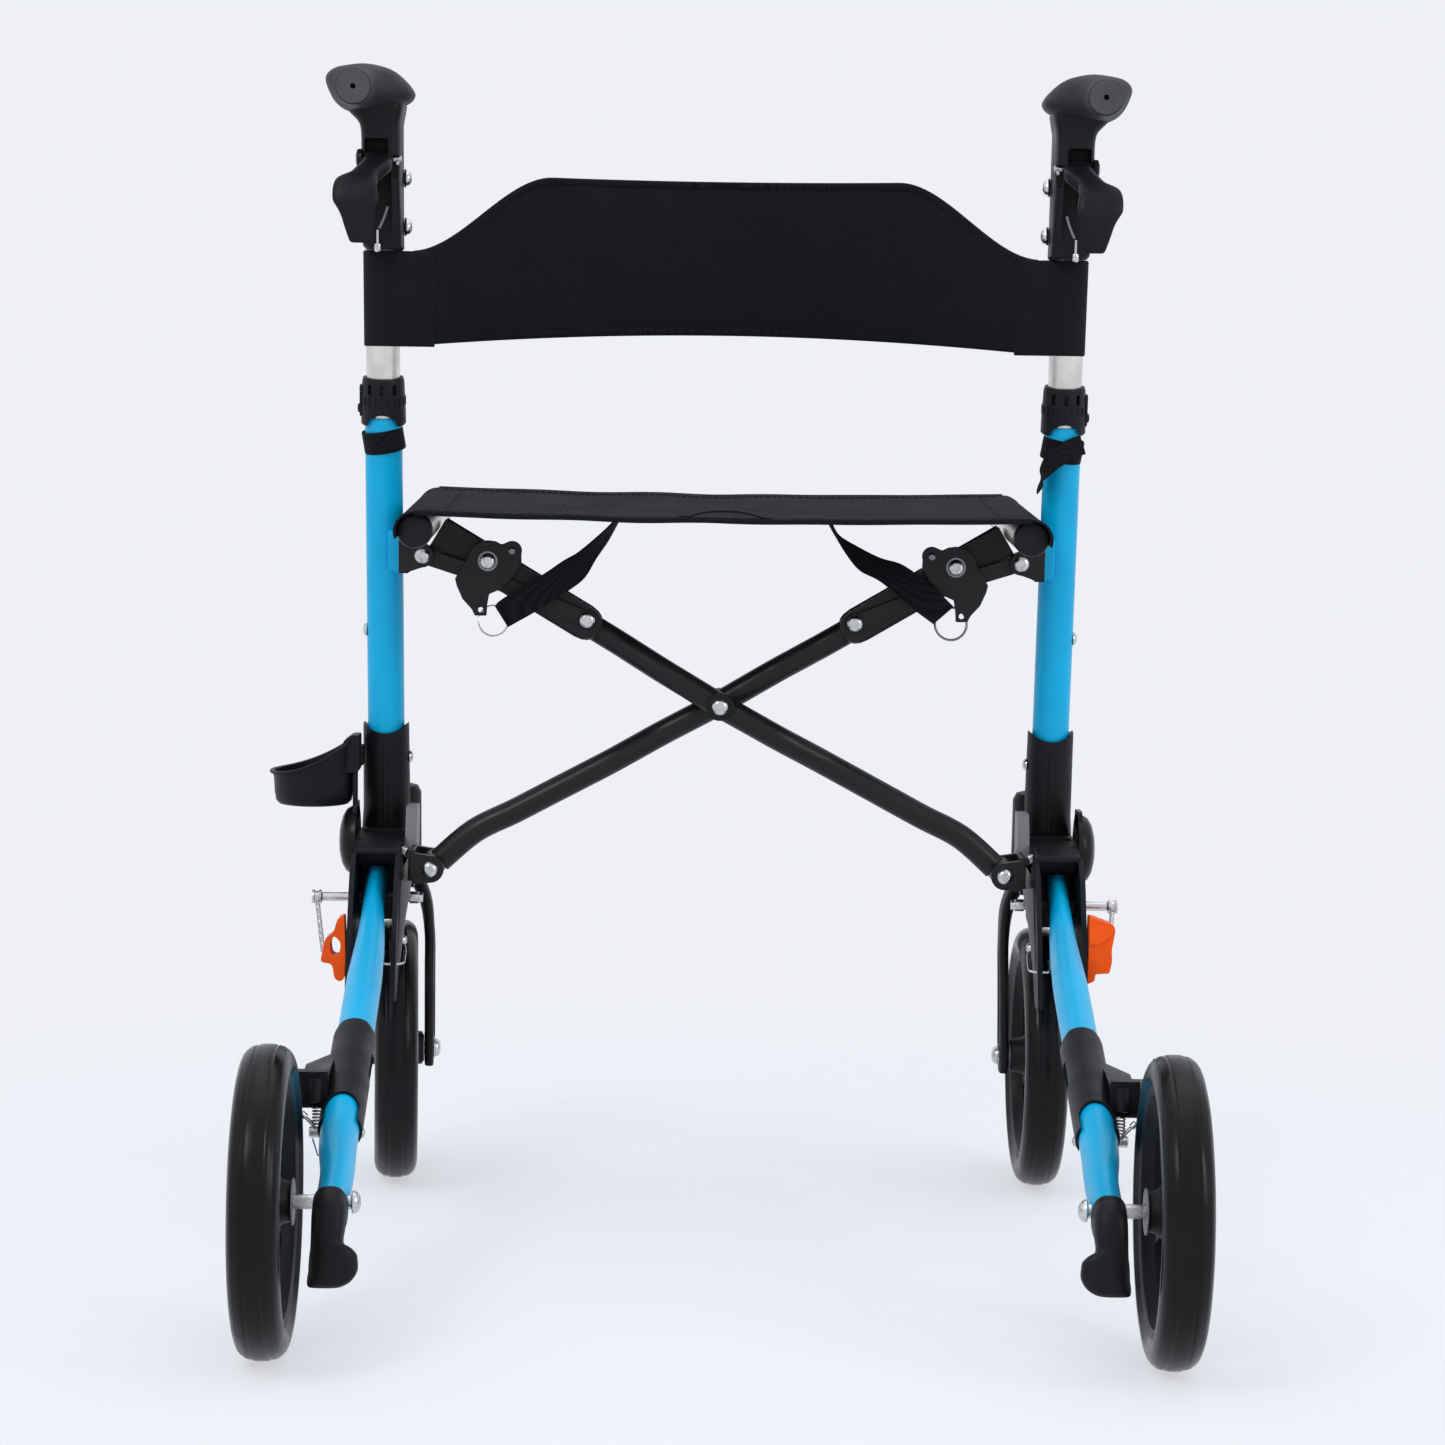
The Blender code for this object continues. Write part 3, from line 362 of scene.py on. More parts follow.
def button_bolt(centre, direction, radius=0.006, height=0.0034):
    """Domed screw head with a six-sided socket; centre is on the seat of the head."""
    across, along = square_axes(direction)
    direction = Vector(direction).normalized()
    centre = Vector(centre)
    rows = []
    for reach, size in ((0.0, 0.96), (0.12, 1.0), (0.45, 0.95), (0.75, 0.8), (0.93, 0.62), (1.0, 0.5)):
        rows.append(ring(centre + direction * (height * reach), across, along, radius * size, radius * size,
            24))
    for depth, grow in ((0.97, 1.0), (0.35, 0.94)):
        row = []
        for step in range(24):
            angle = 2.0 * math.pi * step / 24
            size = 0.4 * radius * grow / max(math.cos((angle + math.pi / 6) % (math.pi / 3) - math.pi / 6), 0.8)
            row.append(centre + direction * (height * depth) + across * (size * math.cos(angle))
                + along * (size * math.sin(angle)))
        rows.append(row)
    return loft(rows)


def spring(start, end, radius, turns, wire_radius=0.0006):
    """Helical spring between two points."""
    start, end = Vector(start), Vector(end)
    across, along = square_axes(end - start)
    steps = int(turns * 12)
    path = []
    for step in range(steps + 1):
        angle = 2.0 * math.pi * step / 12
        path.append(start.lerp(end,
            step / steps) + across * (radius * math.cos(angle)) + along * (radius * math.sin(angle)))
    return wire(path, wire_radius, 6)


def lean_point(x, z):
    """Point on the leaning line of an upright at a height."""
    return Vector((x, UPRIGHT_Y - LEAN_TAN * (z - UPRIGHT_Z), z))


LEAN_AXIS = Vector((0.0, -math.sin(LEAN), math.cos(LEAN)))


# --- materials --------------------------------------------------------------------------------
MATERIALS = {}


class Nodes:
    """Small helper for wiring a Principled material."""

    def __init__(self, name, roughness, metallic=0.0, **sockets):
        self.material = bpy.data.materials.new(name)
        self.material.use_nodes = True
        self.tree = self.material.node_tree
        self.shader = self.tree.nodes["Principled BSDF"]
        self.shader.inputs["Roughness"].default_value = roughness
        self.shader.inputs["Metallic"].default_value = metallic
        for key, value in sockets.items():
            self.shader.inputs[key.replace("_", " ")].default_value = value
        self.place = self.add("ShaderNodeTexCoord").outputs["Object"]
        MATERIALS[name] = self.material

    def add(self, kind, **settings):
        node = self.tree.nodes.new(kind)
        for key, value in settings.items():
            setattr(node, key, value)
        return node

    def link(self, source, target):
        self.tree.links.new(source, target)

    def noise(self, scale, detail=3.0, stretch=(1, 1, 1), rough=0.5):
        mapping = self.add("ShaderNodeMapping")
        mapping.inputs["Scale"].default_value = stretch
        self.link(self.place, mapping.inputs["Vector"])
        node = self.add("ShaderNodeTexNoise")
        node.inputs["Scale"].default_value = scale
        node.inputs["Detail"].default_value = detail
        node.inputs["Roughness"].default_value = rough
        self.link(mapping.outputs["Vector"], node.inputs["Vector"])
        return node.outputs["Fac"]

    def wave(self, direction, scale, distortion=0.0):
        node = self.add("ShaderNodeTexWave", wave_type="BANDS", bands_direction=direction)
        node.inputs["Scale"].default_value = scale
        node.inputs["Distortion"].default_value = distortion
        self.link(self.place, node.inputs["Vector"])
        return node.outputs["Fac"]

    def ramp(self, source, low, high, start=0.3, stop=0.7):
        node = self.add("ShaderNodeMapRange")
        for key, value in (("From Min", start), ("From Max", stop), ("To Min", low), ("To Max", high)):
            node.inputs[key].default_value = value
        self.link(source, node.inputs["Value"])
        return node.outputs["Result"]

    def mix(self, factor, first, second):
        node = self.add("ShaderNodeMix", data_type="RGBA")
        self.link(factor, node.inputs["Factor"])
        node.inputs[6].default_value = (*first, 1.0)
        node.inputs[7].default_value = (*second, 1.0)
        return node.outputs[2]

    def maths(self, operation, first, second):
        node = self.add("ShaderNodeMath", operation=operation)
        for index, value in enumerate((first, second)):
            if isinstance(value, (int, float)):
                node.inputs[index].default_value = value
            else:
                self.link(value, node.inputs[index])
        return node.outputs[0]

    def colour(self, source):
        self.link(source, self.shader.inputs["Base Color"])

    def roughness(self, source):
        self.link(source, self.shader.inputs["Roughness"])

    def bump(self, height, strength, distance):
        node = self.add("ShaderNodeBump")
        node.inputs["Strength"].default_value = strength
        node.inputs["Distance"].default_value = distance
        self.link(height, node.inputs["Height"])
        self.link(node.outputs["Normal"], self.shader.inputs["Normal"])


def scaled(colour, factor):
    """A colour made darker or lighter."""
    return tuple(min(1.0, channel * factor) for channel in colour)


def make_painted(name, colour, roughness, coat, grain):
    """Powder-coated metal: faint orange peel, dusty patches and slightly paler worn spots."""
    n = Nodes(name, roughness, 0.0, Coat_Weight=coat, Coat_Roughness=0.18, Specular_IOR_Level=0.2)
    n.colour(n.mix(n.ramp(n.noise(14.0), 0.0, 1.0), scaled(colour, 0.92), scaled(colour, 1.08)))
    n.roughness(n.ramp(n.noise(55.0, 5.0), roughness - 0.05, roughness + 0.09))
    n.bump(n.noise(grain, 2.0), 0.1, 0.0004)


def make_plastic(name, colour, roughness, grain, strength, sheen=0.0):
    """Moulded plastic or rubber: fine etched grain and patchy handling shine."""
    n = Nodes(name, roughness, 0.0, Sheen_Weight=sheen, Specular_IOR_Level=0.16)
    n.colour(n.mix(n.ramp(n.noise(22.0, 4.0), 0.0, 1.0), scaled(colour, 0.82), scaled(colour, 1.25)))
    n.roughness(n.ramp(n.noise(38.0, 5.0), roughness - 0.07, roughness + 0.09))
    n.bump(n.noise(grain, 3.0, rough=0.65), strength, 0.0003)


def make_metal(name, colour, roughness, stretch, strength):
    """Bare or plated metal with drawn lines and a little dullness."""
    n = Nodes(name, roughness, 1.0)
    n.colour(n.mix(n.ramp(n.noise(60.0, 4.0), 0.0, 1.0), scaled(colour, 0.86), scaled(colour, 1.08)))
    n.roughness(n.ramp(n.noise(420.0, 3.0, stretch), roughness - 0.07, roughness + 0.1))
    n.bump(n.noise(900.0, 2.0, stretch), strength, 0.0002)


def make_weave(name, colour, scale, first, second, sheen, strength=0.55):
    """Woven cloth: two crossed sets of threads, with slubs and a dusty sheen."""
    n = Nodes(name, 0.86, 0.0, Sheen_Weight=sheen, Sheen_Roughness=0.45, Specular_IOR_Level=0.08)
    warp, weft = n.wave(first, scale, 0.35), n.wave(second, scale, 0.35)
    checks = n.maths("MULTIPLY", warp, weft)
    threads = n.maths("ADD", checks, n.maths("MULTIPLY", n.noise(700.0, 2.0), 0.35))
    n.colour(n.mix(n.ramp(threads, 0.0, 1.0, 0.15, 0.95), scaled(colour, 0.55), scaled(colour, 1.75)))
    n.roughness(n.ramp(n.noise(30.0, 4.0), 0.8, 0.94))
    n.bump(threads, strength, 0.0005)


def make_materials():
    make_painted("blue_paint", (0.0, 0.38, 0.68), 0.35, 0.05, 950.0)
    make_painted("black_paint", (0.008, 0.008, 0.009), 0.38, 0.08, 1100.0)
    make_painted("grey_steel", (0.17, 0.17, 0.18), 0.42, 0.0, 800.0)
    make_plastic("black_plastic", (0.007, 0.007, 0.009), 0.44, 1500.0, 0.2)
    make_plastic("gloss_plastic", (0.007, 0.007, 0.008), 0.28, 900.0, 0.08)
    make_plastic("grip_rubber", (0.018, 0.019, 0.023), 0.55, 1700.0, 0.3, 0.02)
    make_plastic("grip_heel", (0.06, 0.062, 0.066), 0.6, 1700.0, 0.2)
    make_plastic("tyre_rubber", (0.004, 0.004, 0.005), 0.27, 700.0, 0.1)
    make_plastic("orange_plastic", (0.82, 0.085, 0.003), 0.38, 1300.0, 0.12)
    make_metal("zinc_steel", (0.6, 0.6, 0.61), 0.24, (1, 1, 1), 0.05)
    make_metal("dark_steel", (0.22, 0.22, 0.23), 0.34, (1, 1, 1), 0.08)
    make_metal("aluminium_tube", (0.72, 0.71, 0.68), 0.3, (9, 9, 0.25), 0.07)
    make_weave("seat_weave", (0.009, 0.009, 0.012), 260.0, "X", "Y", 0.02)
    make_weave("back_weave", (0.01, 0.01, 0.013), 250.0, "X", "Z", 0.04)
    make_weave("webbing", (0.008, 0.008, 0.01), 330.0, "Y", "DIAGONAL", 0.04)
    make_weave("thread", (0.02, 0.02, 0.024), 900.0, "DIAGONAL", "X", 0.05, 0.3)


make_materials()


# --- wheels -----------------------------------------------------------------------------------
def tyre_mesh():
    """Moulded tyre with three broad shallow bands round the tread; half the profile is mirrored."""
    half = mm([(0, 99.7), (3.4, 99.6), (5, 99.3), (5.7, 98.6), (6.4, 98.5), (7.4, 98.8), (10, 98), (10.8, 97.2),
        (11.5, 96.8), (12.6, 96.1), (14.2, 94.2), (15.5, 91.4), (16.3, 88), (16.2, 85.2), (15, 83.4),
        (13.7, 81.4), (13, 80.2)])
    profile = [(-x, radius) for x, radius in reversed(half[1:])] + half
    return turned((0, 0, 0), (1, 0, 0), profile + [(0.013, 0.0798), (-0.013, 0.0798)], 112, closed=True)


def rim_mesh(bore, hub_half):
    """Five twin spokes joined to a deep hub and a flanged ring."""
    solid = mm([(-4.6, 17.5), (-4.6, 70), (-7, 72.2), (-12.2, 73.8), (-13.4, 76), (-13.4, 79.8), (-12, 80.6),
        (-9, 79.9), (9, 79.9), (12, 80.6), (13.4, 79.8), (13.4, 76), (12.2, 73.8), (7, 72.2), (4.6, 70),
        (4.6, 17.5)])
    mesh = turned((0, 0, 0), (1, 0, 0), [(-0.0046, bore)] + solid + [(0.0046, bore)], 80, closed=True)
    for index in range(5):
        middle = 90.0 + 72.0 * index
        wide = rounded(arc((0, 0), 0.0688, middle - 22, middle + 22, 8) + arc((0, 0), 0.025, middle + 9,
            middle - 9, 2), 0.005, 3)
        mesh = carve(mesh, prism(wide, "X", -0.02, 0.02))
        turn = math.radians(middle + 36.0)
        oval = []
        for a, b in rounded(mm([(42, -2.8), (42, 2.8), (67.2, 6.6), (67.2, -6.6)]), 0.005, 4):
            oval.append((a * math.cos(turn) - b * math.sin(turn), a * math.sin(turn) + b * math.cos(turn)))
        mesh = carve(mesh, prism(oval, "X", -0.02, 0.02))
    half = [(0.0045, 0.019), (0.006, 0.0178), (0.011, 0.014), (hub_half - 0.0008, 0.0126), (hub_half, 0.0118),
        (hub_half, bore)]
    hub = [(-x, radius) for x, radius in reversed(half)] + half
    return merge(mesh, turned((0, 0, 0), (1, 0, 0), hub, 48, closed=True))


def build_wheels():
    """Four wheels: tyre, rim and bearing shields each."""
    tyre = tyre_mesh()
    for end, hub_half, shield in (("rear", REAR_HUB, 0.015), ("front", FRONT_HUB, 0.0106)):
        rim = rim_mesh(0.0052, hub_half)
        for prefix, side in SIDES:
            place = leg_place(side) @ Matrix.Translation((side * WHEEL_OFFSET, -AXLE_BACK, -AXLE_DOWN))
            if end == "front":
                place = castor_place(side) @ Matrix.Translation((0.0, -TRAIL, WHEEL_R))
            body = f"{prefix}_{end}_wheel"
            piece(f"{body}_tyre", tyre.copy(), "tyre_rubber", body, (f"{prefix}_{end}_tyre",), place, angle=28)
            piece(f"{body}_rim", rim.copy(), "black_plastic", body, (f"{prefix}_{end}_rim",), place, 0.001, 2,
                angle=30)
            flange = [(0, 0.0052), (0, shield), (0.0009, shield), (0.0009, 0.0052)]
            both = merge(turned((hub_half + 0.0001, 0, 0), (1, 0, 0), flange, 36, True),
                turned((-hub_half - 0.0001, 0, 0), (-1, 0, 0), flange, 36, True))
            piece(f"{body}_bearing_shields", both, "grey_steel", body, (), place)


def build_castor(prefix, side):
    """Castor fork with its ribs and neck, the front axle bolt and the swivel seal."""
    place = castor_place(side)
    body = prefix + "_castor"
    shells = []
    for hand in (-1, 1):
        stations = [((hand * 0.0254, -TRAIL + 0.0005, 0.088), (0.0094, 0.0035)),
            ((hand * 0.0254, -TRAIL, 0.094), (0.0116, 0.0037)),
            ((hand * 0.0254, -TRAIL, 0.103), (0.0118, 0.0037)),
            ((hand * 0.0254, -0.035, 0.129), (0.0108, 0.0037)),
            ((hand * 0.0254, -0.027, 0.16), (0.011, 0.0038)), ((hand * 0.0254, -0.019, 0.187), (0.0118, 0.004)),
            ((hand * 0.0225, -0.011, 0.211), (0.0128, 0.005)),
            ((hand * 0.015, -0.005, 0.227), (0.0138, 0.0056)),
            ((hand * 0.005, -0.0012, 0.234), (0.0146, 0.0066)), ((0.0, 0.0, 0.2345), (0.0148, 0.007))]
        path = smooth_path([station[0] for station in stations], 4)
        sizes = smooth_path([station[1] for station in stations], 4)
        shells.append(sweep(path, sizes, (0, 1, 0), 28, 3.2))
        rib = [(hand * 0.029, -TRAIL + 0.002, 0.108), (hand * 0.029, -0.033, 0.133),
            (hand * 0.029, -0.0265, 0.16), (hand * 0.0288, -0.019, 0.186), (hand * 0.0262, -0.011, 0.212)]
        shells.append(wire(smooth_path(rib, 4), 0.001, 8))
    shells.append(turned((0, 0, 0.228), (0, 0, 1), mm([(0, 12), (1.5, 16), (5, 17.2), (14, 17.2), (15.6, 16),
        (15.6, 8.5)]), 40))
    piece(prefix + "_fork", merge(*shells), "black_plastic", body, (prefix + "_castor_fork",), place, angle=45)
    axle = merge(rod((-0.0292, -TRAIL, WHEEL_R), (0.0292, -TRAIL, WHEEL_R), 0.0047),
        button_bolt((0.0301, -TRAIL, WHEEL_R), (1, 0, 0), 0.007, 0.004),
        button_bolt((-0.0301, -TRAIL, WHEEL_R), (-1, 0, 0), 0.007, 0.004),
        turned((0.0292, -TRAIL, WHEEL_R), (1, 0, 0), [(0, 0.0078), (0.0009, 0.0078)], 32),
        turned((-0.0301, -TRAIL, WHEEL_R), (1, 0, 0), [(0, 0.0078), (0.0009, 0.0078)], 32))
    piece(prefix + "_front_axle_bolt", axle, "zinc_steel", body, (prefix + "_front_axle",), place)
    piece(prefix + "_castor_seal", turned((0, 0, 0.244), (0, 0, 1),
        mm([(0, 8.5), (0, 15), (3.5, 15), (3.5, 8.5)]), 36, True), "grip_rubber", body, (), place)


# --- folding rear leg ---------------------------------------------------------------------------
def leg_point(along, below=0.0):
    """Point in leg coordinates: along the tube from its pivot, and below its centre line."""
    back = Vector((0, -math.cos(LEG_SLOPE), -math.sin(LEG_SLOPE)))
    under = Vector((0, math.sin(LEG_SLOPE), -math.cos(LEG_SLOPE)))
    return back * along + under * below


def build_leg(prefix, side):
    """Folding rear leg: tube flattened at both ends, and the kick step plugged in its end."""
    place = leg_place(side)
    body = prefix + "_leg"
    stations = [(-0.036, 0.0052, 0.0075, -0.002, 0.0042), (-0.034, 0.007, 0.0112, -0.002, 0.0042),
        (-0.028, 0.008, 0.0146, -0.002, 0.0042), (-0.015, 0.0081, 0.0156, -0.002, 0.004),
        (0.015, 0.0081, 0.0157, -0.0017, 0.003), (0.035, 0.0084, 0.0154, -0.0012, 0.0018),
        (0.06, 0.0094, 0.0147, -0.0005, 0.0006), (0.09, 0.0107, 0.0138, 0.0, 0.0),
        (0.125, 0.0119, 0.0131, 0.0, 0.0), (0.165, 0.0127, 0.0127, 0.0, 0.0), (0.3, 0.0127, 0.0127, 0.0, 0.0),
        (0.4, 0.0127, 0.0127, 0.0, 0.0), (0.45, 0.011, 0.0142, 0.0027, 0.0),
        (LEG_LENGTH + 0.0132, 0.0104, 0.0149, 0.0022, 0.0)]
    fine = smooth_path(stations, 6)
    tube = sweep([leg_point(s, -lift) - Vector((side * shift, 0, 0)) for s, a, b, shift, lift in fine],
        [station[1:3] for station in fine], (1, 0, 0), 40)
    piece(prefix + "_leg_tube", tube, "blue_paint", body, (prefix + "_rear_leg",), place, angle=50)
    bottom = LEG_LENGTH + 0.0135
    stations = mm([(-4.5, 0, 11, 15.9, -1.9), (-4, 0, 11.3, 16.2, -1.9), (0, 0, 11.2, 16, -1.9),
        (6, 0, 11, 15, -1.9), (12, 4, 10.7, 12.2, -1.7), (18, 12, 10.4, 10.6, -1.4),
        (20.5, 15, 13.2, 10.1, -4.1), (22.2, 17.5, 14.7, 9.7, -5.3), (24, 20.1, 15.2, 9.3, -5.5),
        (26.2, 24.1, 15.5, 8.8, -5.6), (27.5, 27, 15.3, 8.4, -5.3), (29, 30.5, 14.6, 7.8, -4),
        (30, 33.4, 13.2, 6.8, -2.4), (30.6, 35.3, 11.2, 5, -0.8), (30.8, 36.1, 9.5, 3.4, 0.2)])
    spots = [leg_point(bottom + s, d) + Vector((side * shift, 0, 0)) for s, d, a, b, shift in stations]
    step = sweep(smooth_path(spots, 5), smooth_path([(a, b) for s, d, a, b, shift in stations], 5), (1, 0, 0),
        40, 2.6, True)
    piece(prefix + "_step", step, "black_plastic", body, (prefix + "_kick_step",), place, angle=50)
    build_leg_fasteners(prefix, side, place, body)
    build_brake(prefix, side, place, body)


def build_leg_fasteners(prefix, side, place, body):
    """Pivot shaft with its sprung drum head, and the rear axle with a domed head inboard."""
    reach = 0.0421 if side < 0 else 0.0393
    shaft = merge(rod((-side * 0.0255, 0, 0), (side * reach, 0, 0), 0.0034),
        turned((side * reach, 0, 0), (side, 0, 0), mm([(0, 4), (0.4, 5.2), (2, 5.4), (2.4, 4.3), (5.2, 4.3),
        (5.6, 5.4), (7.2, 5.2), (7.5, 4)]), 32), turned((-side * 0.024, 0, 0), (-side, 0, 0),
        mm([(0, 4), (0.4, 4.6), (7, 4.6), (7.4, 4), (10, 3.6)]), 24),
        turned((side * 0.0205, 0, 0), (side, 0, 0), mm([(0, 3.4), (0, 6.2), (1.6, 6.2), (1.6, 3.4)]), 6, True))
    piece(prefix + "_pivot_shaft", shaft, "zinc_steel", body, (prefix + "_leg_pivot_shaft",), place)
    piece(prefix + "_pivot_bush", rod((-side * 0.014, 0, 0), (side * 0.015, 0, 0), 0.0048), "black_plastic",
        body, (), place)
    hub = Vector((0, -AXLE_BACK, -AXLE_DOWN))
    across = Vector((side, 0, 0))
    outer = WHEEL_OFFSET + REAR_HUB + 0.0012
    axle = merge(rod(hub - across * 0.015, hub + across * (outer + 0.001), 0.0047),
        button_bolt(hub - across * 0.015, -across, 0.0074, 0.0052),
        turned(hub + across * outer, across, mm([(0, 4.8), (0, 8.2), (3.5, 7.6), (3.7, 4.8)]), 6, True))
    piece(prefix + "_rear_axle_bolt", axle, "zinc_steel", body, (prefix + "_rear_axle",), place)


def build_brake(prefix, side, place, body):
    """Sleeve on the leg with an inspection window, a hood over the wheel, return spring, bar and cable."""
    top, arch = 0.245, 0.359
    under = leg_point(0.0, 1.0)
    shell = sleeve(leg_point(top), leg_point(0.388), 0.0149, 0.013, 56)
    for way in (-1, 1):
        spot = leg_point(arch + 0.0118)
        shell = carve(shell, turned(spot + under * (way * 0.001), under * way, [(0, 0.0118), (0.03, 0.0118)],
            32))
        corner = [leg_point(arch + 0.0118 + along, way * depth) for along,
            depth in ((0.0, 0.001), (0.04, 0.001), (0.04, 0.03), (0.0, 0.03))]
        shell = carve(shell, prism([(p.y, p.z) for p in corner], "X", -0.0118, 0.0118))
    shell = carve(shell, turned(leg_point(top - 0.008) + Vector((-0.03, 0, 0)), (1, 0, 0),
        [(0, 0.015), (0.06, 0.015)], 40))
    window = []
    for a, b in rounded(mm([(-19, -5.2), (19, -5.2), (19, 5.2), (-19, 5.2)]), 0.0052, 5):
        point = leg_point(0.298 + a, b)
        window.append((point.y, point.z))
    low, high = sorted((-side * 0.005, -side * 0.025))
    shell = carve(shell, prism(window, "X", low, high))
    roof = mm([(-349, -65.5), (-344, -63.2), (-272, -60), (-268, -64), (-300, -70), (-338, -76)])
    rows = []
    for x, drop in ((0.0105, 0.0064), (0.018, 0.0095), (0.0308, 0.015)):
        rows.append([Vector((side * x, y, z - drop)) for y, z in rounded(roof, 0.002, 3)])
    cover = side_plate(rounded(mm([(-350, -77.6), (-350, -75.2), (-292, -74.5), (-292, -77.2)]), 0.001, 2),
        side, 0.03, 0.048)
    hood = merge(loft(rows), cover)
    skirt = slab((min(side * 0.0105, side * 0.03), -0.349, -0.0885),
        (max(side * 0.0105, side * 0.03), -0.342, -0.0655))
    lip = rod((side * 0.012, -0.3495, -0.0885), (side * 0.03, -0.3495, -0.0885), 0.0013, 12)
    barrel = turned((side * 0.0185, -0.347, -0.07), (0, -0.2, -1), mm([(0, 4), (0.5, 5.2), (16, 5), (16.5, 4)]),
        24)
    piece(prefix + "_brake_sleeve", merge(shell, hood, skirt, lip, barrel), "black_plastic", body,
        (prefix + "_brake_bracket",), place, 0.0007, 2)
    bright = [rod((side * 0.0114, -0.3545, -0.105), (side * 0.0222, -0.3545, -0.105), 0.0038, 24),
        slab((min(side * 0.0114, side * 0.015), -0.356, -0.111),
        (max(side * 0.0114, side * 0.015), -0.35, -0.1)),
        turned((side * 0.024, -0.356, -0.095), (side * 0.7, 0, 0.7),
        mm([(0, 1.6), (0.4, 2.4), (4, 2.4), (4.4, 1.6)]), 16),
        rod((side * 0.018, -0.356, -0.101), (side * 0.024, -0.356, -0.095), 0.0014, 12),
        button_bolt((-side * 0.0125, -0.355, -0.105), (-side, 0, 0), 0.0036, 0.0026)]
    if side < 0:
        bright.append(wire(mm([(-19.6, -356, -109), (-16, -358, -119.7), (-10, -358, -121)]), 0.0006, 8))
    piece(prefix + "_brake_screws", merge(*bright), "zinc_steel", body, (), place, angle=40)
    coil = spring((side * 0.0161, -0.355, -0.088), (side * 0.0161, -0.355, -0.101), 0.0036, 6, 0.0006)
    piece(prefix + "_brake_spring", coil, "dark_steel", body, (), place)
    build_brake_arm(prefix, side, place)


def build_brake_arm(prefix, side, place):
    """Bell crank over the tyre with its rubber pad and pin."""
    def around(angle, radius):
        return (-AXLE_BACK + radius * math.cos(math.radians(angle)),
            -AXLE_DOWN + radius * math.sin(math.radians(angle)))
    pivot = (-0.302, -0.086)
    outline = [around(50 - step * 22 / 10, 0.1032) for step in range(11)] + [(-0.37, -0.0885),
        (-0.303, -0.0938)]
    outline += arc(pivot, 0.0078, -75, 75, 10) + [(-0.348, -0.0782)] + [around(30 + step * 4,
        0.1113) for step in range(6)]
    low, high = sorted((side * 0.0322, side * 0.0468))
    body = prefix + "_brake_arm"
    piece(prefix + "_brake_shoe_arm", prism(outline, "X", low, high), "black_paint", body,
        (prefix + "_brake_arm",), place, 0.0007, 2)
    pin = rod((side * 0.03, *pivot), (side * 0.049, *pivot), 0.0032)
    shoe = [around(48 - step * 2, 0.1014) for step in range(9)] + [around(32 + step * 2,
        0.1036) for step in range(9)]
    piece(prefix + "_brake_pad", side_plate(shoe, side, 0.0335, 0.0455), "grip_rubber", body, (), place, 0.0004,
        1)
    piece(prefix + "_brake_pin", merge(pin, button_bolt((side * 0.049, *pivot), (side, 0, 0), 0.0042, 0.002)),
        "zinc_steel", body, (), place)


# --- frame side: upright, collar, leg housing ----------------------------------------------------
def build_upright(prefix, side):
    """Upright tube with the ribbed height collar, its tongue and button."""
    x = side * UPRIGHT_X
    body = prefix + "_frame"
    tube = sleeve(lean_point(x, 0.305), lean_point(x, 0.588), 0.014, 0.0131, 64)
    piece(prefix + "_upright_tube", tube, "blue_paint", body, (prefix + "_upright",))
    tilt = FRAME @ Matrix.Translation(lean_point(x, 0.582)) @ Matrix.Rotation(LEAN, 4, "X")
    profile = mm([(0, 14.2), (0, 16), (1.2, 16.9), (13, 16.7), (24, 16.2), (33, 15.8), (35.8, 15), (36, 13.1)])
    shell = turned((0, 0, 0), (0, 0, 1), profile, 64, closed=True)
    saddle = prism(arc((0.0, -0.0035), 0.0125, 10, 170, 16), "Y", -0.03, 0.03)
    shell = carve(shell, saddle)
    for index in range(3):
        heading = Matrix.Rotation(math.radians(-125 + 35 * index), 4, "Z")
        notch = slab((0.0135, -0.0016, 0.024), (0.02, 0.0016, 0.0315))
        notch.transform(heading)
        shell = carve(shell, notch)
    ribs = []
    for index in range(20):
        heading = math.radians(18 * index)
        rib = slab((0.0155, -0.0006, 0.015), (0.017, 0.0006, 0.0215))
        rib.transform(Matrix.Rotation(heading, 4, "Z"))
        ribs.append(rib)
    piece(prefix + "_collar", merge(shell, *ribs), "black_plastic", body, (prefix + "_height_collar",), tilt,
        0.0005, 2)
    tongue = prism(rounded(mm([(-5.2, 6), (5.2, 6), (4.5, 30), (-4.5, 30)]), 0.003), "X", 0.015, 0.0176)
    if side < 0:
        tongue.transform(Matrix.Rotation(math.pi, 4, "Z"))
    button = turned((side * 0.0172, 0, 0.012), (side, 0, 0), mm([(0, 3.6), (1.2, 3.6), (2, 3), (2.2, 1.8)]), 28)
    piece(prefix + "_collar_button", merge(tongue, button), "gloss_plastic", body, (), tilt, 0.0004, 2)
    bolt = button_bolt((side * 0.27, 0.532 - LEAN_TAN * 0.0785, 0.4245), (side, 0, 0), 0.0052, 0.003)
    piece(prefix + "_upright_bolt", bolt, "zinc_steel", body)


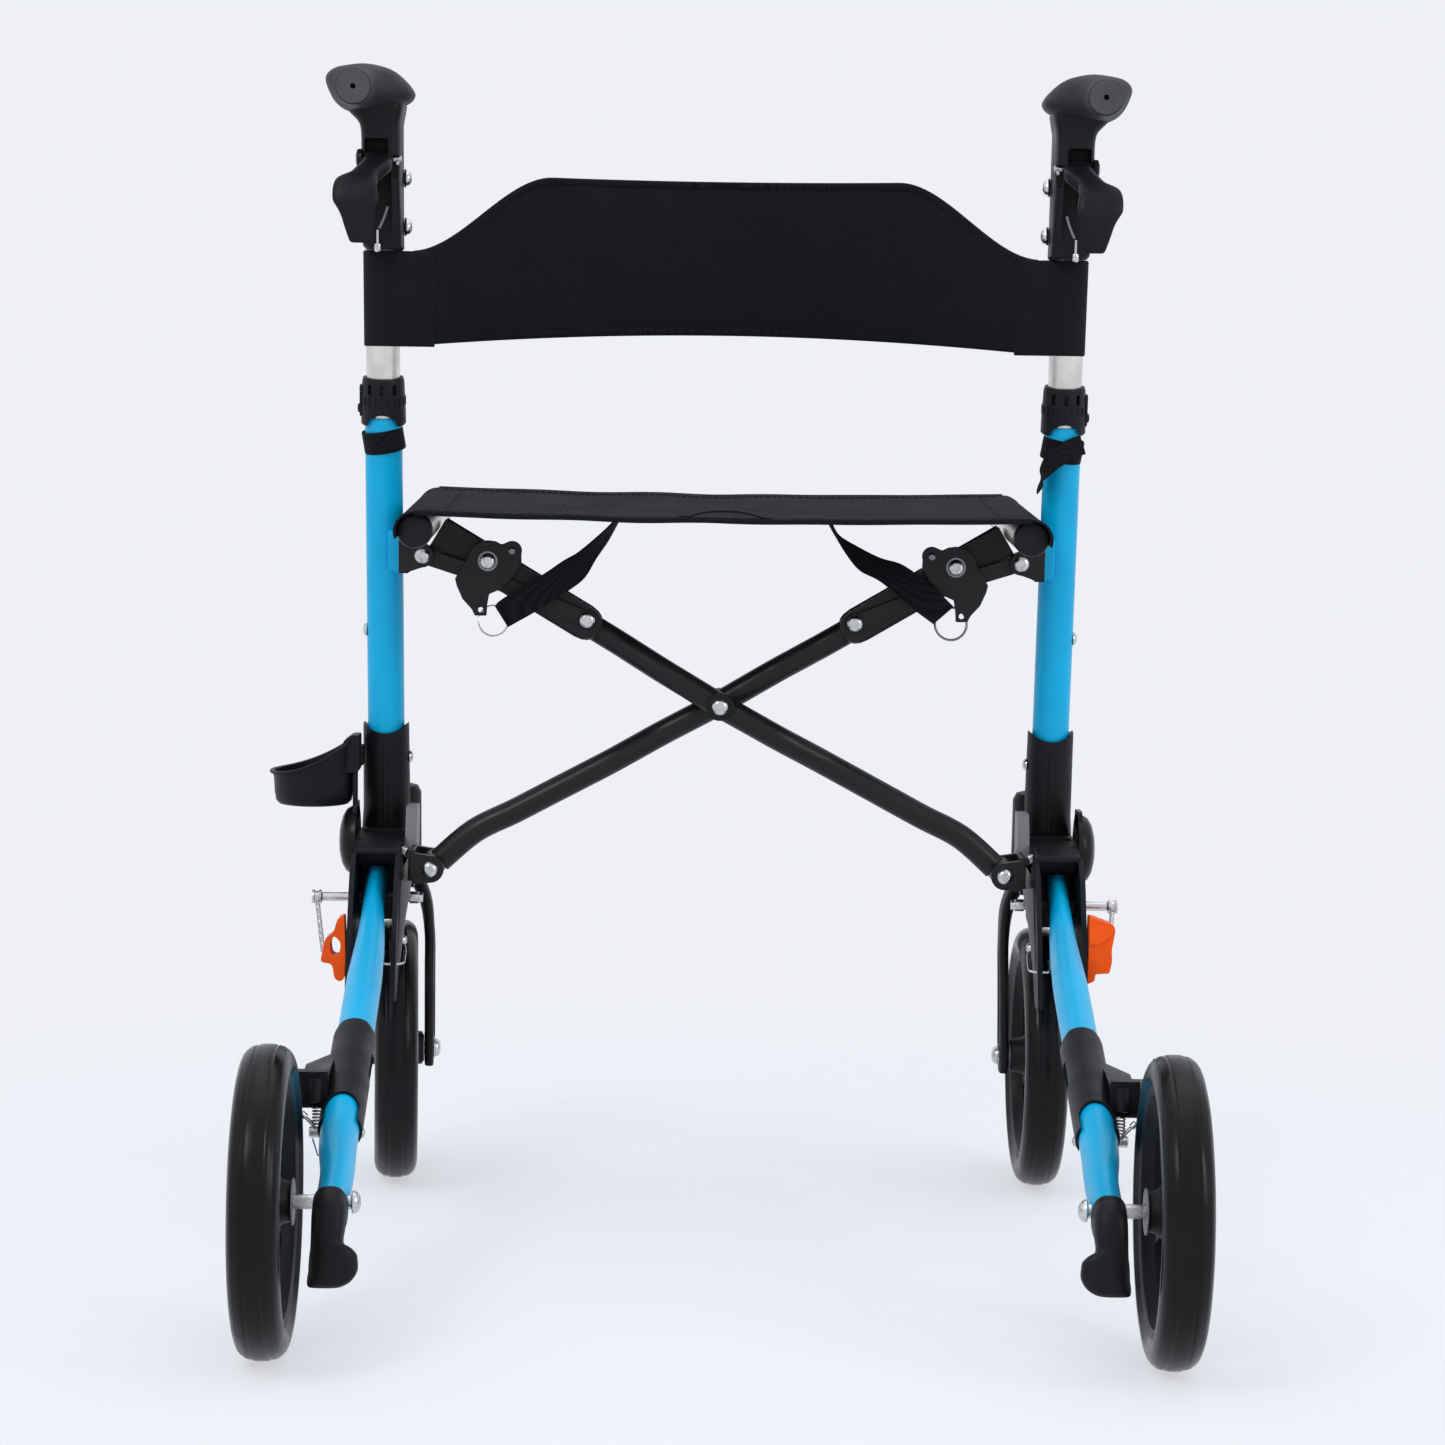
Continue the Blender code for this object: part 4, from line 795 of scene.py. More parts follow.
def build_housing(prefix, side):
    """Moulded housing: tube socket, chamfered block, two cheeks round the leg and the castor bearing."""
    x = side * UPRIGHT_X
    body = prefix + "_frame"
    inner, outer = side * 0.2385, side * 0.2757
    start = lean_point(x, 0.256)
    socket = turned(start, LEAN_AXIS, mm([(0, 19.5), (15, 19.2), (30, 18.1), (96, 17.6), (98.4, 17),
        (99, 14.3)]), 56)
    saddle = turned((x, 0.4, 0.3447 + 0.0229), (0, 1, 0), [(0, 0.0229), (0.25, 0.0229)], 64)
    socket = carve(socket, saddle)
    low, high = sorted((inner, outer))
    block = prism(rounded(mm([(475, 247), (474, 262), (490, 268), (545, 269), (580, 264), (582, 248.5)]),
        0.007), "X", low, high)
    collar = prism(rounded([(low - 0.0004, 0.248), (low - 0.0004, 0.26), (low + 0.003, 0.271),
        (high - 0.003, 0.271), (high + 0.0004, 0.26), (high + 0.0004, 0.248)], 0.004), "Y", 0.52, 0.566)
    cheek = mm([(402, 160), (406, 155.5), (426, 155.5), (443, 176), (469, 196.5), (498, 208), (513, 209),
        (530, 248), (513, 264), (456, 262), (438, 248), (415, 202)])
    cheek = rounded(cheek, 0.006, 3)
    shells = [socket, block, collar]
    for edge, step in ((inner, side * 0.0038), (outer, -side * 0.0038)):
        shells.append(prism(cheek, "X", *sorted((edge, edge + step))))
    web_low, web_high = sorted((inner + side * 0.002, outer - side * 0.002))
    shells.append(slab((web_low, 0.508, 0.2022), (web_high, 0.5135, 0.26)))
    lip = rounded(mm([(456, 259), (456, 264), (478, 268), (478, 259)]), 0.002)
    shells.append(prism(lip, "X", web_low, web_high))
    ridge = [lean_point(x, z) + Vector((0, -0.0178 - lift, 0)) for z,
        lift in ((0.262, 0.0014), (0.29, 0.0004), (0.315, 0.0), (0.335, -0.0006))]
    shells.append(sweep(smooth_path([tuple(p) for p in ridge], 4), [(0.0024, 0.0016)] * 13, (1, 0, 0), 12))
    shells.append(turned((side * CASTOR_X, CASTOR_Y, 0.247), (0, 0, 1),
        mm([(0, 18.5), (2, 19), (48, 18.6), (53, 16), (54.6, 10), (55, 4)]), 48))
    shells.append(turned((side * 0.2366, 0.47, 0.225), (side, 0, 0), [(0, 0.0085), (0.0022, 0.0095)], 36))
    piece(prefix + "_housing", merge(*shells), "black_plastic", body, (prefix + "_leg_housing",), bevel=0.0008,
        segments=2)
    dome = turned((side * 0.2757, 0.512, 0.263), (side, 0, 0),
        mm([(0, 26.8), (4, 26.6), (8.5, 24), (11.5, 19), (13.4, 11.5), (14, 3)]), 48)
    visor = side_plate(rounded(mm([(496, 280), (528, 280), (524, 293), (500, 293)]), 0.004), side, 0.2757,
        0.279)
    piece(prefix + "_lock_cover", merge(dome, visor), "gloss_plastic", body, (), bevel=0.0)
    build_housing_hardware(prefix, side, body)


def build_housing_hardware(prefix, side, body):
    """Screws, lock strip, flange and hoop round the leg housing."""
    strip = mm([(234.2, 454, 240, 4.2), (235, 450, 230, 3.6), (236.2, 443, 213, 2.4), (237.2, 433, 196, 1.8),
        (237.8, 423, 181, 1.4)])
    steel = [sweep(smooth_path([(side * x, y, z) for x, y, z, half in strip], 5),
        smooth_path([(half, 0.0007) for x, y, z, half in strip], 5), (1, 0, 0), 16, 4.0)]
    plate = rounded(mm([(490, 252), (530, 252), (530, 290), (506, 290)]), 0.003)
    steel.append(side_plate(plate, side, 0.23, 0.2387))
    piece(prefix + "_lock_plate", merge(*steel), "grey_steel", body, (), bevel=0.0003, segments=1)
    bright = [button_bolt((side * 0.237, 0.438, 0.1975), (-side, 0, 0), 0.0038, 0.0046),
        button_bolt((side * 0.238, 0.4735, 0.26), (0, -1, 0), 0.0036, 0.0022),
        button_bolt((side * 0.2757, 0.425, 0.196), (side, 0, 0), 0.0042, 0.0016),
        button_bolt((side * 0.2386, 0.535, 0.3254), (-side, 0, 0), 0.0048, 0.003)]
    hoop = sided(mm([(237.2, 438, 197.5), (233.5, 433, 193), (233, 423, 186), (234.5, 418, 183.2),
        (245, 417, 182.8), (248, 419, 184), (248, 429, 190)]), side)
    bright.append(wire(smooth_path(hoop, 5), 0.001, 10))
    piece(prefix + "_housing_screws", merge(*bright), "zinc_steel", body)
    top, end = (0.3024, 0.2938) if side < 0 else (0.2998, 0.293)
    coil = spring((side * top, 0.468, 0.221), (side * end, 0.424, 0.19), 0.0015, 24, 0.0004)
    piece(prefix + "_lever_spring", coil, "zinc_steel", body)


def build_release(prefix, side):
    """Orange leg release: a waisted lever with a hole on the left, a plain block on the right."""
    outline = mm([(277.4, 218.7), (282.3, 216.4), (285.6, 205.1), (291.2, 202), (295.1, 183.8), (286.2, 182.4),
        (284.3, 171.2), (279.9, 169), (276.9, 172), (276.2, 188.6)])
    if side > 0:
        outline = mm([(276.8, 224.6), (280, 224.4), (295.3, 218.7), (296.5, 214.9), (294, 199.7), (294.6, 192),
            (292.7, 182.5), (282.2, 181.9), (281.9, 176.8), (276.4, 174.2)])
        mesh = prism(rounded(outline, 0.0016, 4), "Y", 0.4152, 0.4308)
        brow = mm([(276.8, 224.4), (280, 224), (295, 218.4), (296.2, 215), (288, 207), (283, 204),
            (276.8, 205)])
        rows = [[Vector((x, y, z)) for x, z in rounded(brow, 0.0014, 3)] for y in (0.417, 0.4128)]
        for point in rows[1]:
            point.y += 0.0034 * min(1.0, max(0.0, (point.z - 0.204) / 0.019))
        piece(prefix + "_release", merge(mesh, loft(rows)), "orange_plastic", prefix + "_release",
            (prefix + "_release_lever",), bevel=0.0007, segments=2)
        return
    mesh = prism(sided(rounded(outline, 0.003, 4), side), "Y", 0.4152, 0.4308)
    hole = mm([(280, 199), (280, 193), (283, 188), (287, 190), (288, 198), (285, 204)])
    mesh = carve(mesh, prism(sided(rounded(hole, 0.0028, 4), side), "Y", 0.4, 0.45))
    piece(prefix + "_release", mesh, "orange_plastic", prefix + "_release", (prefix + "_release_lever",),
        bevel=0.0009, segments=3)


# --- scissor brace, seat arms, hooks and links ---------------------------------------------------
def bell(share):
    """Smooth fall from 1 to 0 as the share goes from 0 to 1."""
    share = max(0.0, min(1.0, share))
    return 1.0 - share * share * (3 - 2 * share)


def brace_path(side):
    """Points of one scissor tube, bowed past its twin round the centre bolt."""
    foot = Vector((-side * FOOT[0], BRACE_Y, FOOT[1]))
    rail = Vector((side * RAIL[0], BRACE_Y, RAIL[1]))
    cross = Vector((0.0, BRACE_Y, CROSS_Z))
    run = (rail - cross).normalized()
    path = [foot + Vector((side * 0.006, 0, 0.004)), Vector((-side * 0.185, BRACE_Y, 0.2745)),
        Vector((-side * 0.155, BRACE_Y, 0.2898)), Vector((-side * 0.13, BRACE_Y, 0.3032))]
    for reach in (0.098, 0.076, 0.052, 0.03):
        aside = side * 0.0106 * bell((reach - 0.05) / 0.046)
        path.append(Vector((-side * reach * 0.876, BRACE_Y + aside, CROSS_Z - reach * 0.478)))
    for reach in (0.0, 0.03, 0.052, 0.076, 0.098, 0.16, 0.236):
        aside = side * 0.0106 * bell((reach - 0.05) / 0.046)
        path.append(cross + run * reach + Vector((0, aside, 0)))
    return [tuple(point) for point in path], cross, run


def build_brace(name, prefix, side):
    """Scissor tube with its foot eye, seat arm channel, seat rail, caps and bolts."""
    path, cross, run = brace_path(side)
    foot = Vector((-side * FOOT[0], BRACE_Y, FOOT[1]))
    eye = turned(foot - Vector((0, 0.0175, 0)), (0, 1, 0),
        mm([(0, 4.4), (0, 9.4), (0.8, 10), (34.2, 10), (35, 9.4), (35, 4.4)]), 40, True)
    tube = wire(smooth_path(path, 5), 0.0095, 32)
    piece(name + "_tube", merge(tube, eye), "black_paint", name, (name + "_brace_tube",), angle=50)
    up = run.cross(Vector((0, side, 0))) * -1.0
    rows = []
    wall = 0.0022
    finish = 0.2615 - 0.0124
    flat = [(-0.0118, -0.0128), (-0.0118, 0.0102), (-0.0092, 0.0128), (0.0092, 0.0128), (0.0118, 0.0102),
        (0.0118, -0.0128), (0.0118 - wall, -0.0128), (0.0118 - wall, 0.0092), (0.0084, 0.0104),
        (-0.0084, 0.0104), (-0.0118 + wall, 0.0092), (-0.0118 + wall, -0.0128)]
    for reach, deep in ((0.1072, 0.34), (0.1085, 0.58), (0.111, 0.78), (0.115, 0.93), (0.121, 1.0),
            (finish, 1.0)):
        centre = cross + run * reach
        rows.append([centre + Vector((0, y, 0)) + up * (z * deep) for y, z in flat])
    piece(prefix + "_arm_channel", loft(rows), "black_paint", name, (prefix + "_seat_arm",), bevel=0.0004,
        segments=1)
    along = Vector((0, 1, RAIL_TILT)).normalized()
    back = Vector((side * RAIL[0], 0.387, rail_height(0.387)))
    tube = turned(back + along * 0.01, along, mm([(0, 12), (0.6, 12.7), (225.4, 12.7), (226, 12)]), 48)
    piece(prefix + "_rail", tube, "aluminium_tube", name, (prefix + "_seat_rail",))
    caps = merge(turned(back, along, mm([(0, 4), (0.2, 10), (1.2, 12.2), (3.2, 13), (10.4, 13)]), 48),
        turned(back + along * 0.246, -along, mm([(0, 4), (0.2, 10), (1.2, 12.2), (3.2, 13), (10.4, 13)]), 48))
    piece(prefix + "_rail_caps", caps, "black_plastic", name)
    bolts = [button_bolt((side * ARM_JOINT[0], 0.4697, ARM_JOINT[1]), (0, -1, 0), 0.0061, 0.0036),
        rod((side * ARM_JOINT[0], 0.469, ARM_JOINT[1]), (side * ARM_JOINT[0], 0.501, ARM_JOINT[1]), 0.0034),
        turned((side * ARM_JOINT[0], 0.498, ARM_JOINT[1]), (0, 1, 0), [(0, 0.0058), (0.0046, 0.0058)], 6)]
    piece(prefix + "_arm_bolts", merge(*bolts), "zinc_steel", name)
    washer = turned((side * ARM_JOINT[0], 0.47, ARM_JOINT[1]), (0, -1, 0), [(0, 0.0072), (0.0008, 0.0072)], 32)
    piece(prefix + "_arm_washer", washer, "gloss_plastic", name)


def build_centre_bolt():
    """Bolt and washers where the two scissor tubes cross."""
    washer = turned((0, 0.4655, CROSS_Z), (0, -1, 0), mm([(0, 10), (0.8, 10.6), (2.6, 10.6), (3.2, 10)]), 44)
    back = turned((0, 0.5065, CROSS_Z), (0, 1, 0), [(0, 0.01), (0.0025, 0.0104)], 44)
    piece("centre_washers", merge(washer, back), "gloss_plastic", "brace_b", ("centre_pivot_bolt",))
    bolt = merge(button_bolt((0, 0.4623, CROSS_Z), (0, -1, 0), 0.0064, 0.0036),
        rod((0, 0.463, CROSS_Z), (0, 0.514, CROSS_Z), 0.0039),
        turned((0, 0.509, CROSS_Z), (0, 1, 0), [(0, 0.0074), (0.0062, 0.0074)], 6))
    piece("centre_bolt", bolt, "zinc_steel", "brace_b")


def build_toggle(prefix, side):
    """Seat bracket on the upright, frame link, knee rivet and toggle bar."""
    body = prefix + "_frame"
    low, high = sorted((side * 0.242, side * 0.2345))
    ear = sided([(0.238, 0.4925)] + arc(EAR, 0.0088, 90, 270, 14) + [(0.238, 0.471)], side)
    shells = [slab((low, 0.4602, 0.4712), (high, 0.5108, 0.5015))]
    shells += [prism(ear, "Y", *layer) for layer in ((0.4606, 0.4648), (0.47, 0.4738))]
    piece(prefix + "_bracket", merge(*shells), "black_paint", body, (prefix + "_seat_bracket",), bevel=0.0006,
        segments=2)
    low, high = sorted((side * 0.2422, side * 0.252))
    lug = prism(rounded(mm([(488, 470.5), (511, 470.5), (511, 502), (488, 502)]), 0.004), "X", low, high)
    piece(prefix + "_lug", lug, "blue_paint", body, (), bevel=0.0012, segments=2)
    screw = merge(button_bolt((side * EAR[0], 0.4606, EAR[1]), (0, -1, 0), 0.0061, 0.0036),
        rod((side * EAR[0], 0.461, EAR[1]), (side * EAR[0], 0.476, EAR[1]), 0.0036))
    piece(prefix + "_bracket_bolt", screw, "zinc_steel", body)
    link = prism(sided(bar(EAR, KNEE, 0.006), side), "Y", 0.4653, 0.4695)
    piece(prefix + "_link_bar", link, "black_paint", prefix + "_link", (prefix + "_frame_link",), bevel=0.0005)
    rivet = turned((side * KNEE[0], 0.465, KNEE[1]), (0, -1, 0), mm([(0, 4.8), (1, 4.4), (1.6, 3), (1.8, 1)]),
        28)
    piece(prefix + "_knee_rivet", rivet, "zinc_steel", prefix + "_link")
    toggle = prism(sided(bar(ARM_JOINT, KNEE, 0.006), side), "Y", 0.47, 0.4738)
    piece(prefix + "_toggle_strip", toggle, "black_paint", prefix + "_toggle", (prefix + "_toggle_bar",),
        bevel=0.0005)


def build_hook(prefix, side):
    """Latch hook with its bolt, small screw and the ring the webbing pulls on."""
    body = prefix + "_hook"
    outline = arc((0.1572, 0.4891), 0.0074, 200, 60, 12) + [(0.165, 0.4938), (0.17, 0.4962)] + arc(HOOK_BOLT,
        0.0155, 105, 5, 12)
    outline += mm([(196, 474), (199.8, 468), (198.5, 462.5), (194.1, 452.6), (187, 444.8), (184.8, 440.2),
        (176, 440.2), (175.5, 448.5), (174.2, 456.4), (166, 460), (156, 470), (150, 480)])
    mesh = prism(sided(outline, side), "Y", 0.4607, 0.4648)
    mesh = carve(mesh, turned((side * 0.1803, 0.45, 0.4445), (0, 1, 0), [(0, 0.0021), (0.03, 0.0021)], 20))
    piece(prefix + "_hook_plate", mesh, "black_paint", body, (prefix + "_latch_hook",), bevel=0.0007,
        segments=2)
    pin = merge(button_bolt((side * HOOK_BOLT[0], 0.46, HOOK_BOLT[1]), (0, -1, 0), 0.0061, 0.0036),
        rod((side * HOOK_BOLT[0], 0.464, HOOK_BOLT[1]), (side * HOOK_BOLT[0], 0.474, HOOK_BOLT[1]), 0.0048))
    piece(prefix + "_hook_bolt", pin, "zinc_steel", body)
    washer = turned((side * HOOK_BOLT[0], 0.4607, HOOK_BOLT[1]), (0, -1, 0), [(0, 0.0074), (0.0007, 0.0074)],
        32)
    screw = button_bolt((side * 0.1572, 0.4607, 0.4891), (0, -1, 0), 0.003, 0.0016)
    piece(prefix + "_hook_washer", merge(washer, screw), "dark_steel", body)
    x, z, size, thick, metal = (0.1708, 0.4366, 0.0112, 0.0006, "zinc_steel") if side < 0 else (0.1723, 0.4389,
        0.012, 0.0009, "dark_steel")
    steps = 84
    path = []
    for step in range(steps + 1):
        angle = math.radians(95) + 2.0 * math.pi * 2.0 * step / steps
        path.append(Vector((side * (x + size * math.cos(angle)),
            0.4603 + 0.0024 * step / steps + 0.003 * math.sin(angle), z + size * math.sin(angle))))
    piece(prefix + "_split_ring", wire(path, thick, 8), metal, body)


# --- handles ----------------------------------------------------------------------------------
def build_handle(prefix, side):
    """Height post and moulded handle head with its window, trough and screws."""
    x = side * UPRIGHT_X
    body = prefix + "_handle"
    post = rod(lean_point(x, 0.37), lean_point(x, 0.7989), POST_R, 64)
    piece(prefix + "_post", post, "aluminium_tube", body, (prefix + "_height_post",))
    stations = mm([(711, 253.8, 12.6, 442.5, 483.5), (712.8, 254, 14.2, 441, 485), (716, 254.5, 14.7, 440, 485),
        (735, 254.5, 14.7, 434, 482), (760, 254.5, 14.7, 427.2, 479), (780, 254.5, 14.7, 424.5, 477),
        (796, 254.6, 14.8, 423.5, 475), (803, 255.3, 15.7, 422, 473.5), (808, 257, 18.5, 420, 472),
        (813, 259, 21.5, 418, 471), (816, 259.5, 22.5, 418, 470.5)])
    rows = []
    for z, middle, half, back, front in smooth_path(stations, 3):
        rows.append(ring((side * middle, (back + front) / 2, z), (1, 0, 0), (0, 1, 0), half, (front - back) / 2,
            64, 4.6))
    window = rounded(mm([(248.4, 770), (266, 770), (266, 791), (248.4, 791)]), 0.002, 3)
    trough = rounded(mm([(246.2, 719), (266.2, 719), (266.2, 776), (246.2, 776)]), 0.002, 3)
    head = carve(loft(rows), prism(sided(window, side), "Y", 0.4, 0.442))
    head = carve(head, prism(sided(trough, side), "Y", 0.4, 0.4392))
    low, high = sorted((side * 0.237, side * 0.2452))
    head = carve(head, slab((low, 0.41, 0.7625), (high, 0.432, 0.779)))
    piece(prefix + "_head", head, "black_plastic", body, (prefix + "_handle_housing",), bevel=0.0008,
        segments=2)
    bright = [button_bolt((side * 0.238, 0.462, 0.764), (-side, 0, 0), 0.0057, 0.004),
        button_bolt((side * 0.238, 0.468, 0.7286), (-side, 0, 0), 0.0057, 0.004),
        rod((side * 0.2405, LEVER_Y - 0.006, 0.7735), (side * 0.243, LEVER_Y - 0.006, 0.7735), 0.002, 16),
        rod((side * 0.2392, LEVER_Y, LEVER_Z), (side * 0.2722, LEVER_Y, LEVER_Z), 0.0026),
        turned((side * 0.2715, LEVER_Y, LEVER_Z), (side, 0, 0), mm([(0, 4.4), (0.8, 4.4), (1.2, 3.6)]), 24),
        turned((side * 0.2566, 0.434, 0.725), (0, 0.1, -1),
        mm([(0, 0.9), (9.8, 0.9), (10, 2), (11.2, 2.5), (15, 2.5), (16, 1.8)]), 20)]
    piece(prefix + "_head_screws", merge(*bright), "zinc_steel", body)
    washers = [turned((side * 0.2392, y, z), (-side, 0, 0), [(0, 0.0068), (0.0011, 0.0068)], 32) for y,
        z in ((0.462, 0.764), (0.468, 0.7286))]
    boss = turned((side * 0.268, LEVER_Y, LEVER_Z), (side, 0, 0), mm([(0, 7.4), (3.4, 7), (3.8, 6.2)]), 32)
    piece(prefix + "_head_washers", merge(boss, *washers), "gloss_plastic", body)
    build_grip(prefix, side, body)
    build_lever(prefix, side)


def build_grip(prefix, side, body):
    """Soft grip: round at the hand's heel, spreading forwards into a drooping palm wing."""
    stations = [(0.366, 0.86, 0.0), (0.3664, 0.95, 0.0), (0.3676, 0.99, 0.0), (0.372, 1.0, 0.0),
        (0.384, 1.0, 0.0), (0.393, 1.0, 0.12), (0.403, 1.0, 0.36), (0.413, 1.0, 0.7), (0.424, 1.0, 0.94),
        (0.436, 1.0, 1.0), (0.448, 0.99, 1.0), (0.456, 0.93, 1.0), (0.462, 0.8, 1.0), (0.4665, 0.58, 1.0),
        (0.4684, 0.34, 1.0), (0.4688, 0.18, 1.0)]
    outline = closed_curve(WING)
    rows = []
    for y, scale, share in smooth_path(stations, 3):
        middle = -0.006 * share
        row = []
        for across, up in outline:
            heading = math.atan2(up + GRIP_DROP, across)
            round_x, round_z = GRIP_R * math.cos(heading), GRIP_R * math.sin(heading)
            x = middle + (round_x + (across - round_x) * share - middle) * scale
            z = (round_z + (up + GRIP_DROP - round_z) * share) * scale - GRIP_DROP
            row.append(Vector((side * (GRIP_X + x), y, GRIP_Z + z)))
        rows.append(row)
    hole = turned((side * GRIP_X, 0.36, GRIP_Z - GRIP_DROP), (0, 1, 0), [(0, 0.002), (0.014, 0.002)], 24)
    piece(prefix + "_grip", carve(loft(rows), hole), "grip_rubber", body, (prefix + "_handle_grip",), angle=60)
    heel = mm([(0, 2), (0, 12.2), (0.6, 11.8), (0.6, 2)])
    piece(prefix + "_grip_heel", turned((side * GRIP_X, 0.3662, GRIP_Z - GRIP_DROP), (0, -1, 0), heel, 48,
        True), "grip_heel", body)


def build_lever(prefix, side):
    """Brake lever: a broad curved paddle on a round hub."""
    body = prefix + "_lever"
    stations = mm([(433, 776.2, 246.2, 265.6, 5), (424, 775, 245.8, 266.2, 4.4),
        (414, 771.6, 245.2, 267.4, 4.2), (406, 767.2, 249, 270.6, 4.4), (398.5, 762.5, 253.4, 274.8, 4.6),
        (393, 759, 253.8, 282.6, 4.6), (388.5, 754.8, 253.6, 284.8, 4.6), (385.8, 749, 252.4, 285.3, 4.5),
        (384.6, 744, 252.6, 284.8, 4.5), (384.4, 740.5, 253.4, 282.8, 4.4), (384.6, 737, 254.6, 280.6, 4.3),
        (385.2, 732.5, 255.6, 278.6, 4.3), (386.2, 726.5, 256.2, 276.8, 4.2), (387.6, 720.5, 256.8, 274.8, 4),
        (389, 716.5, 257.6, 273.4, 3.6), (389.6, 715, 259, 272.4, 2.6)])
    path = smooth_path([(side * (inner + outer) / 2, y, z) for y, z, inner, outer, half in stations], 4)
    sizes = smooth_path([((outer - inner) / 2, half) for y, z, inner, outer, half in stations], 4)
    paddle = sweep(path, sizes, (1, 0, 0), 40, 3.2, True)
    hub = rod((side * 0.2456, LEVER_Y, LEVER_Z), (side * 0.2661, LEVER_Y, LEVER_Z), 0.0064, 40)
    edge = sided(mm([(246.6, 423.5, 770), (247.8, 414, 766.8), (251.5, 406, 762.6), (255.6, 398.5, 757.6),
        (256.6, 392.5, 753)]), side)
    rim = wire(smooth_path(edge, 4), 0.0014, 8)
    piece(prefix + "_brake_paddle", merge(paddle, hub, rim), "black_plastic", body, (prefix + "_brake_lever",),
        bevel=0.0)
    strip = strap(smooth_path(sided(mm([(249, 430, 742), (251.5, 430, 734), (255.2, 431, 726)]), side), 5),
        (1, 0, 0), 0.0018, 0.0009)
    piece(prefix + "_lever_strip", strip, "grey_steel", body)


# --- fabrics ------------------------------------------------------------------------------------
def back_edges(x):
    """Height of the strap's lower and upper edge and how far forward it bows, at one x."""
    share = abs(x) / 0.2562
    bow = 0.46 + 0.142 * max(0.0, 1.0 - share * share) ** 0.85
    low = 0.6415 + 0.0135 * (1.0 - share * share)
    fall = min(1.0, max(0.0, (abs(x) - 0.133) / 0.103))
    return low, 0.7086 + 0.0593 * (1.0 - fall * fall * (3.0 - 2.0 * fall)), bow


def build_back_sleeve(prefix, side):
    """Cloth sleeve round the post, sewn flat where the strap leaves it."""
    rows, seam = [], []
    levels = (0.0, 0.012, 0.05, 0.3, 0.6, 0.95, 0.988, 1.0)
    for share in levels:
        end = share in (0.0, 1.0)
        post = lean_point(side * UPRIGHT_X, 0.64 + 0.0708 * share)
        bow = back_edges(0.2208)[2] - 0.012 * (share - 0.5)
        tip = Vector((side * 0.2208, bow, 0.64 + 0.0712 * share))
        reach = tip - post
        heading = math.atan2(reach.y, reach.x)
        radius = 0.0134 if end else 0.0141
        row = []
        for step in range(33):
            angle = heading + math.radians(78 + 204 * step / 32)
            row.append(post + Vector((radius * math.cos(angle), radius * math.sin(angle), 0.0)))
        normal = Vector((-math.sin(heading), math.cos(heading), 0.0))
        thick = 0.0016 if end else 0.0024
        for weight in (0.35, 0.68, 1.0):
            row.append(row[32].lerp(tip - normal * thick, weight))
        for weight in (0.0, 0.32, 0.65):
            row.append((tip + normal * thick).lerp(row[0], weight))
        rows.append(row)
        if not end:
            seam.append(row[35].lerp(row[34], 0.25) - normal * 0.0003)
    piece(prefix + "_back_sleeve", loft(rows), "back_weave", prefix + "_handle", bevel=0.0, angle=55)
    stitches = []
    for first, last in zip(seam, seam[1:]):
        count = max(1, int((last - first).length / 0.0038))
        for step in range(count):
            a, b = first.lerp(last, step / count), first.lerp(last, (step + 0.7) / count)
            stitches.append(wire([a, b], 0.00035, 5))
    piece(prefix + "_back_sleeve_seam", merge(*stitches), "thread", prefix + "_handle", angle=60)


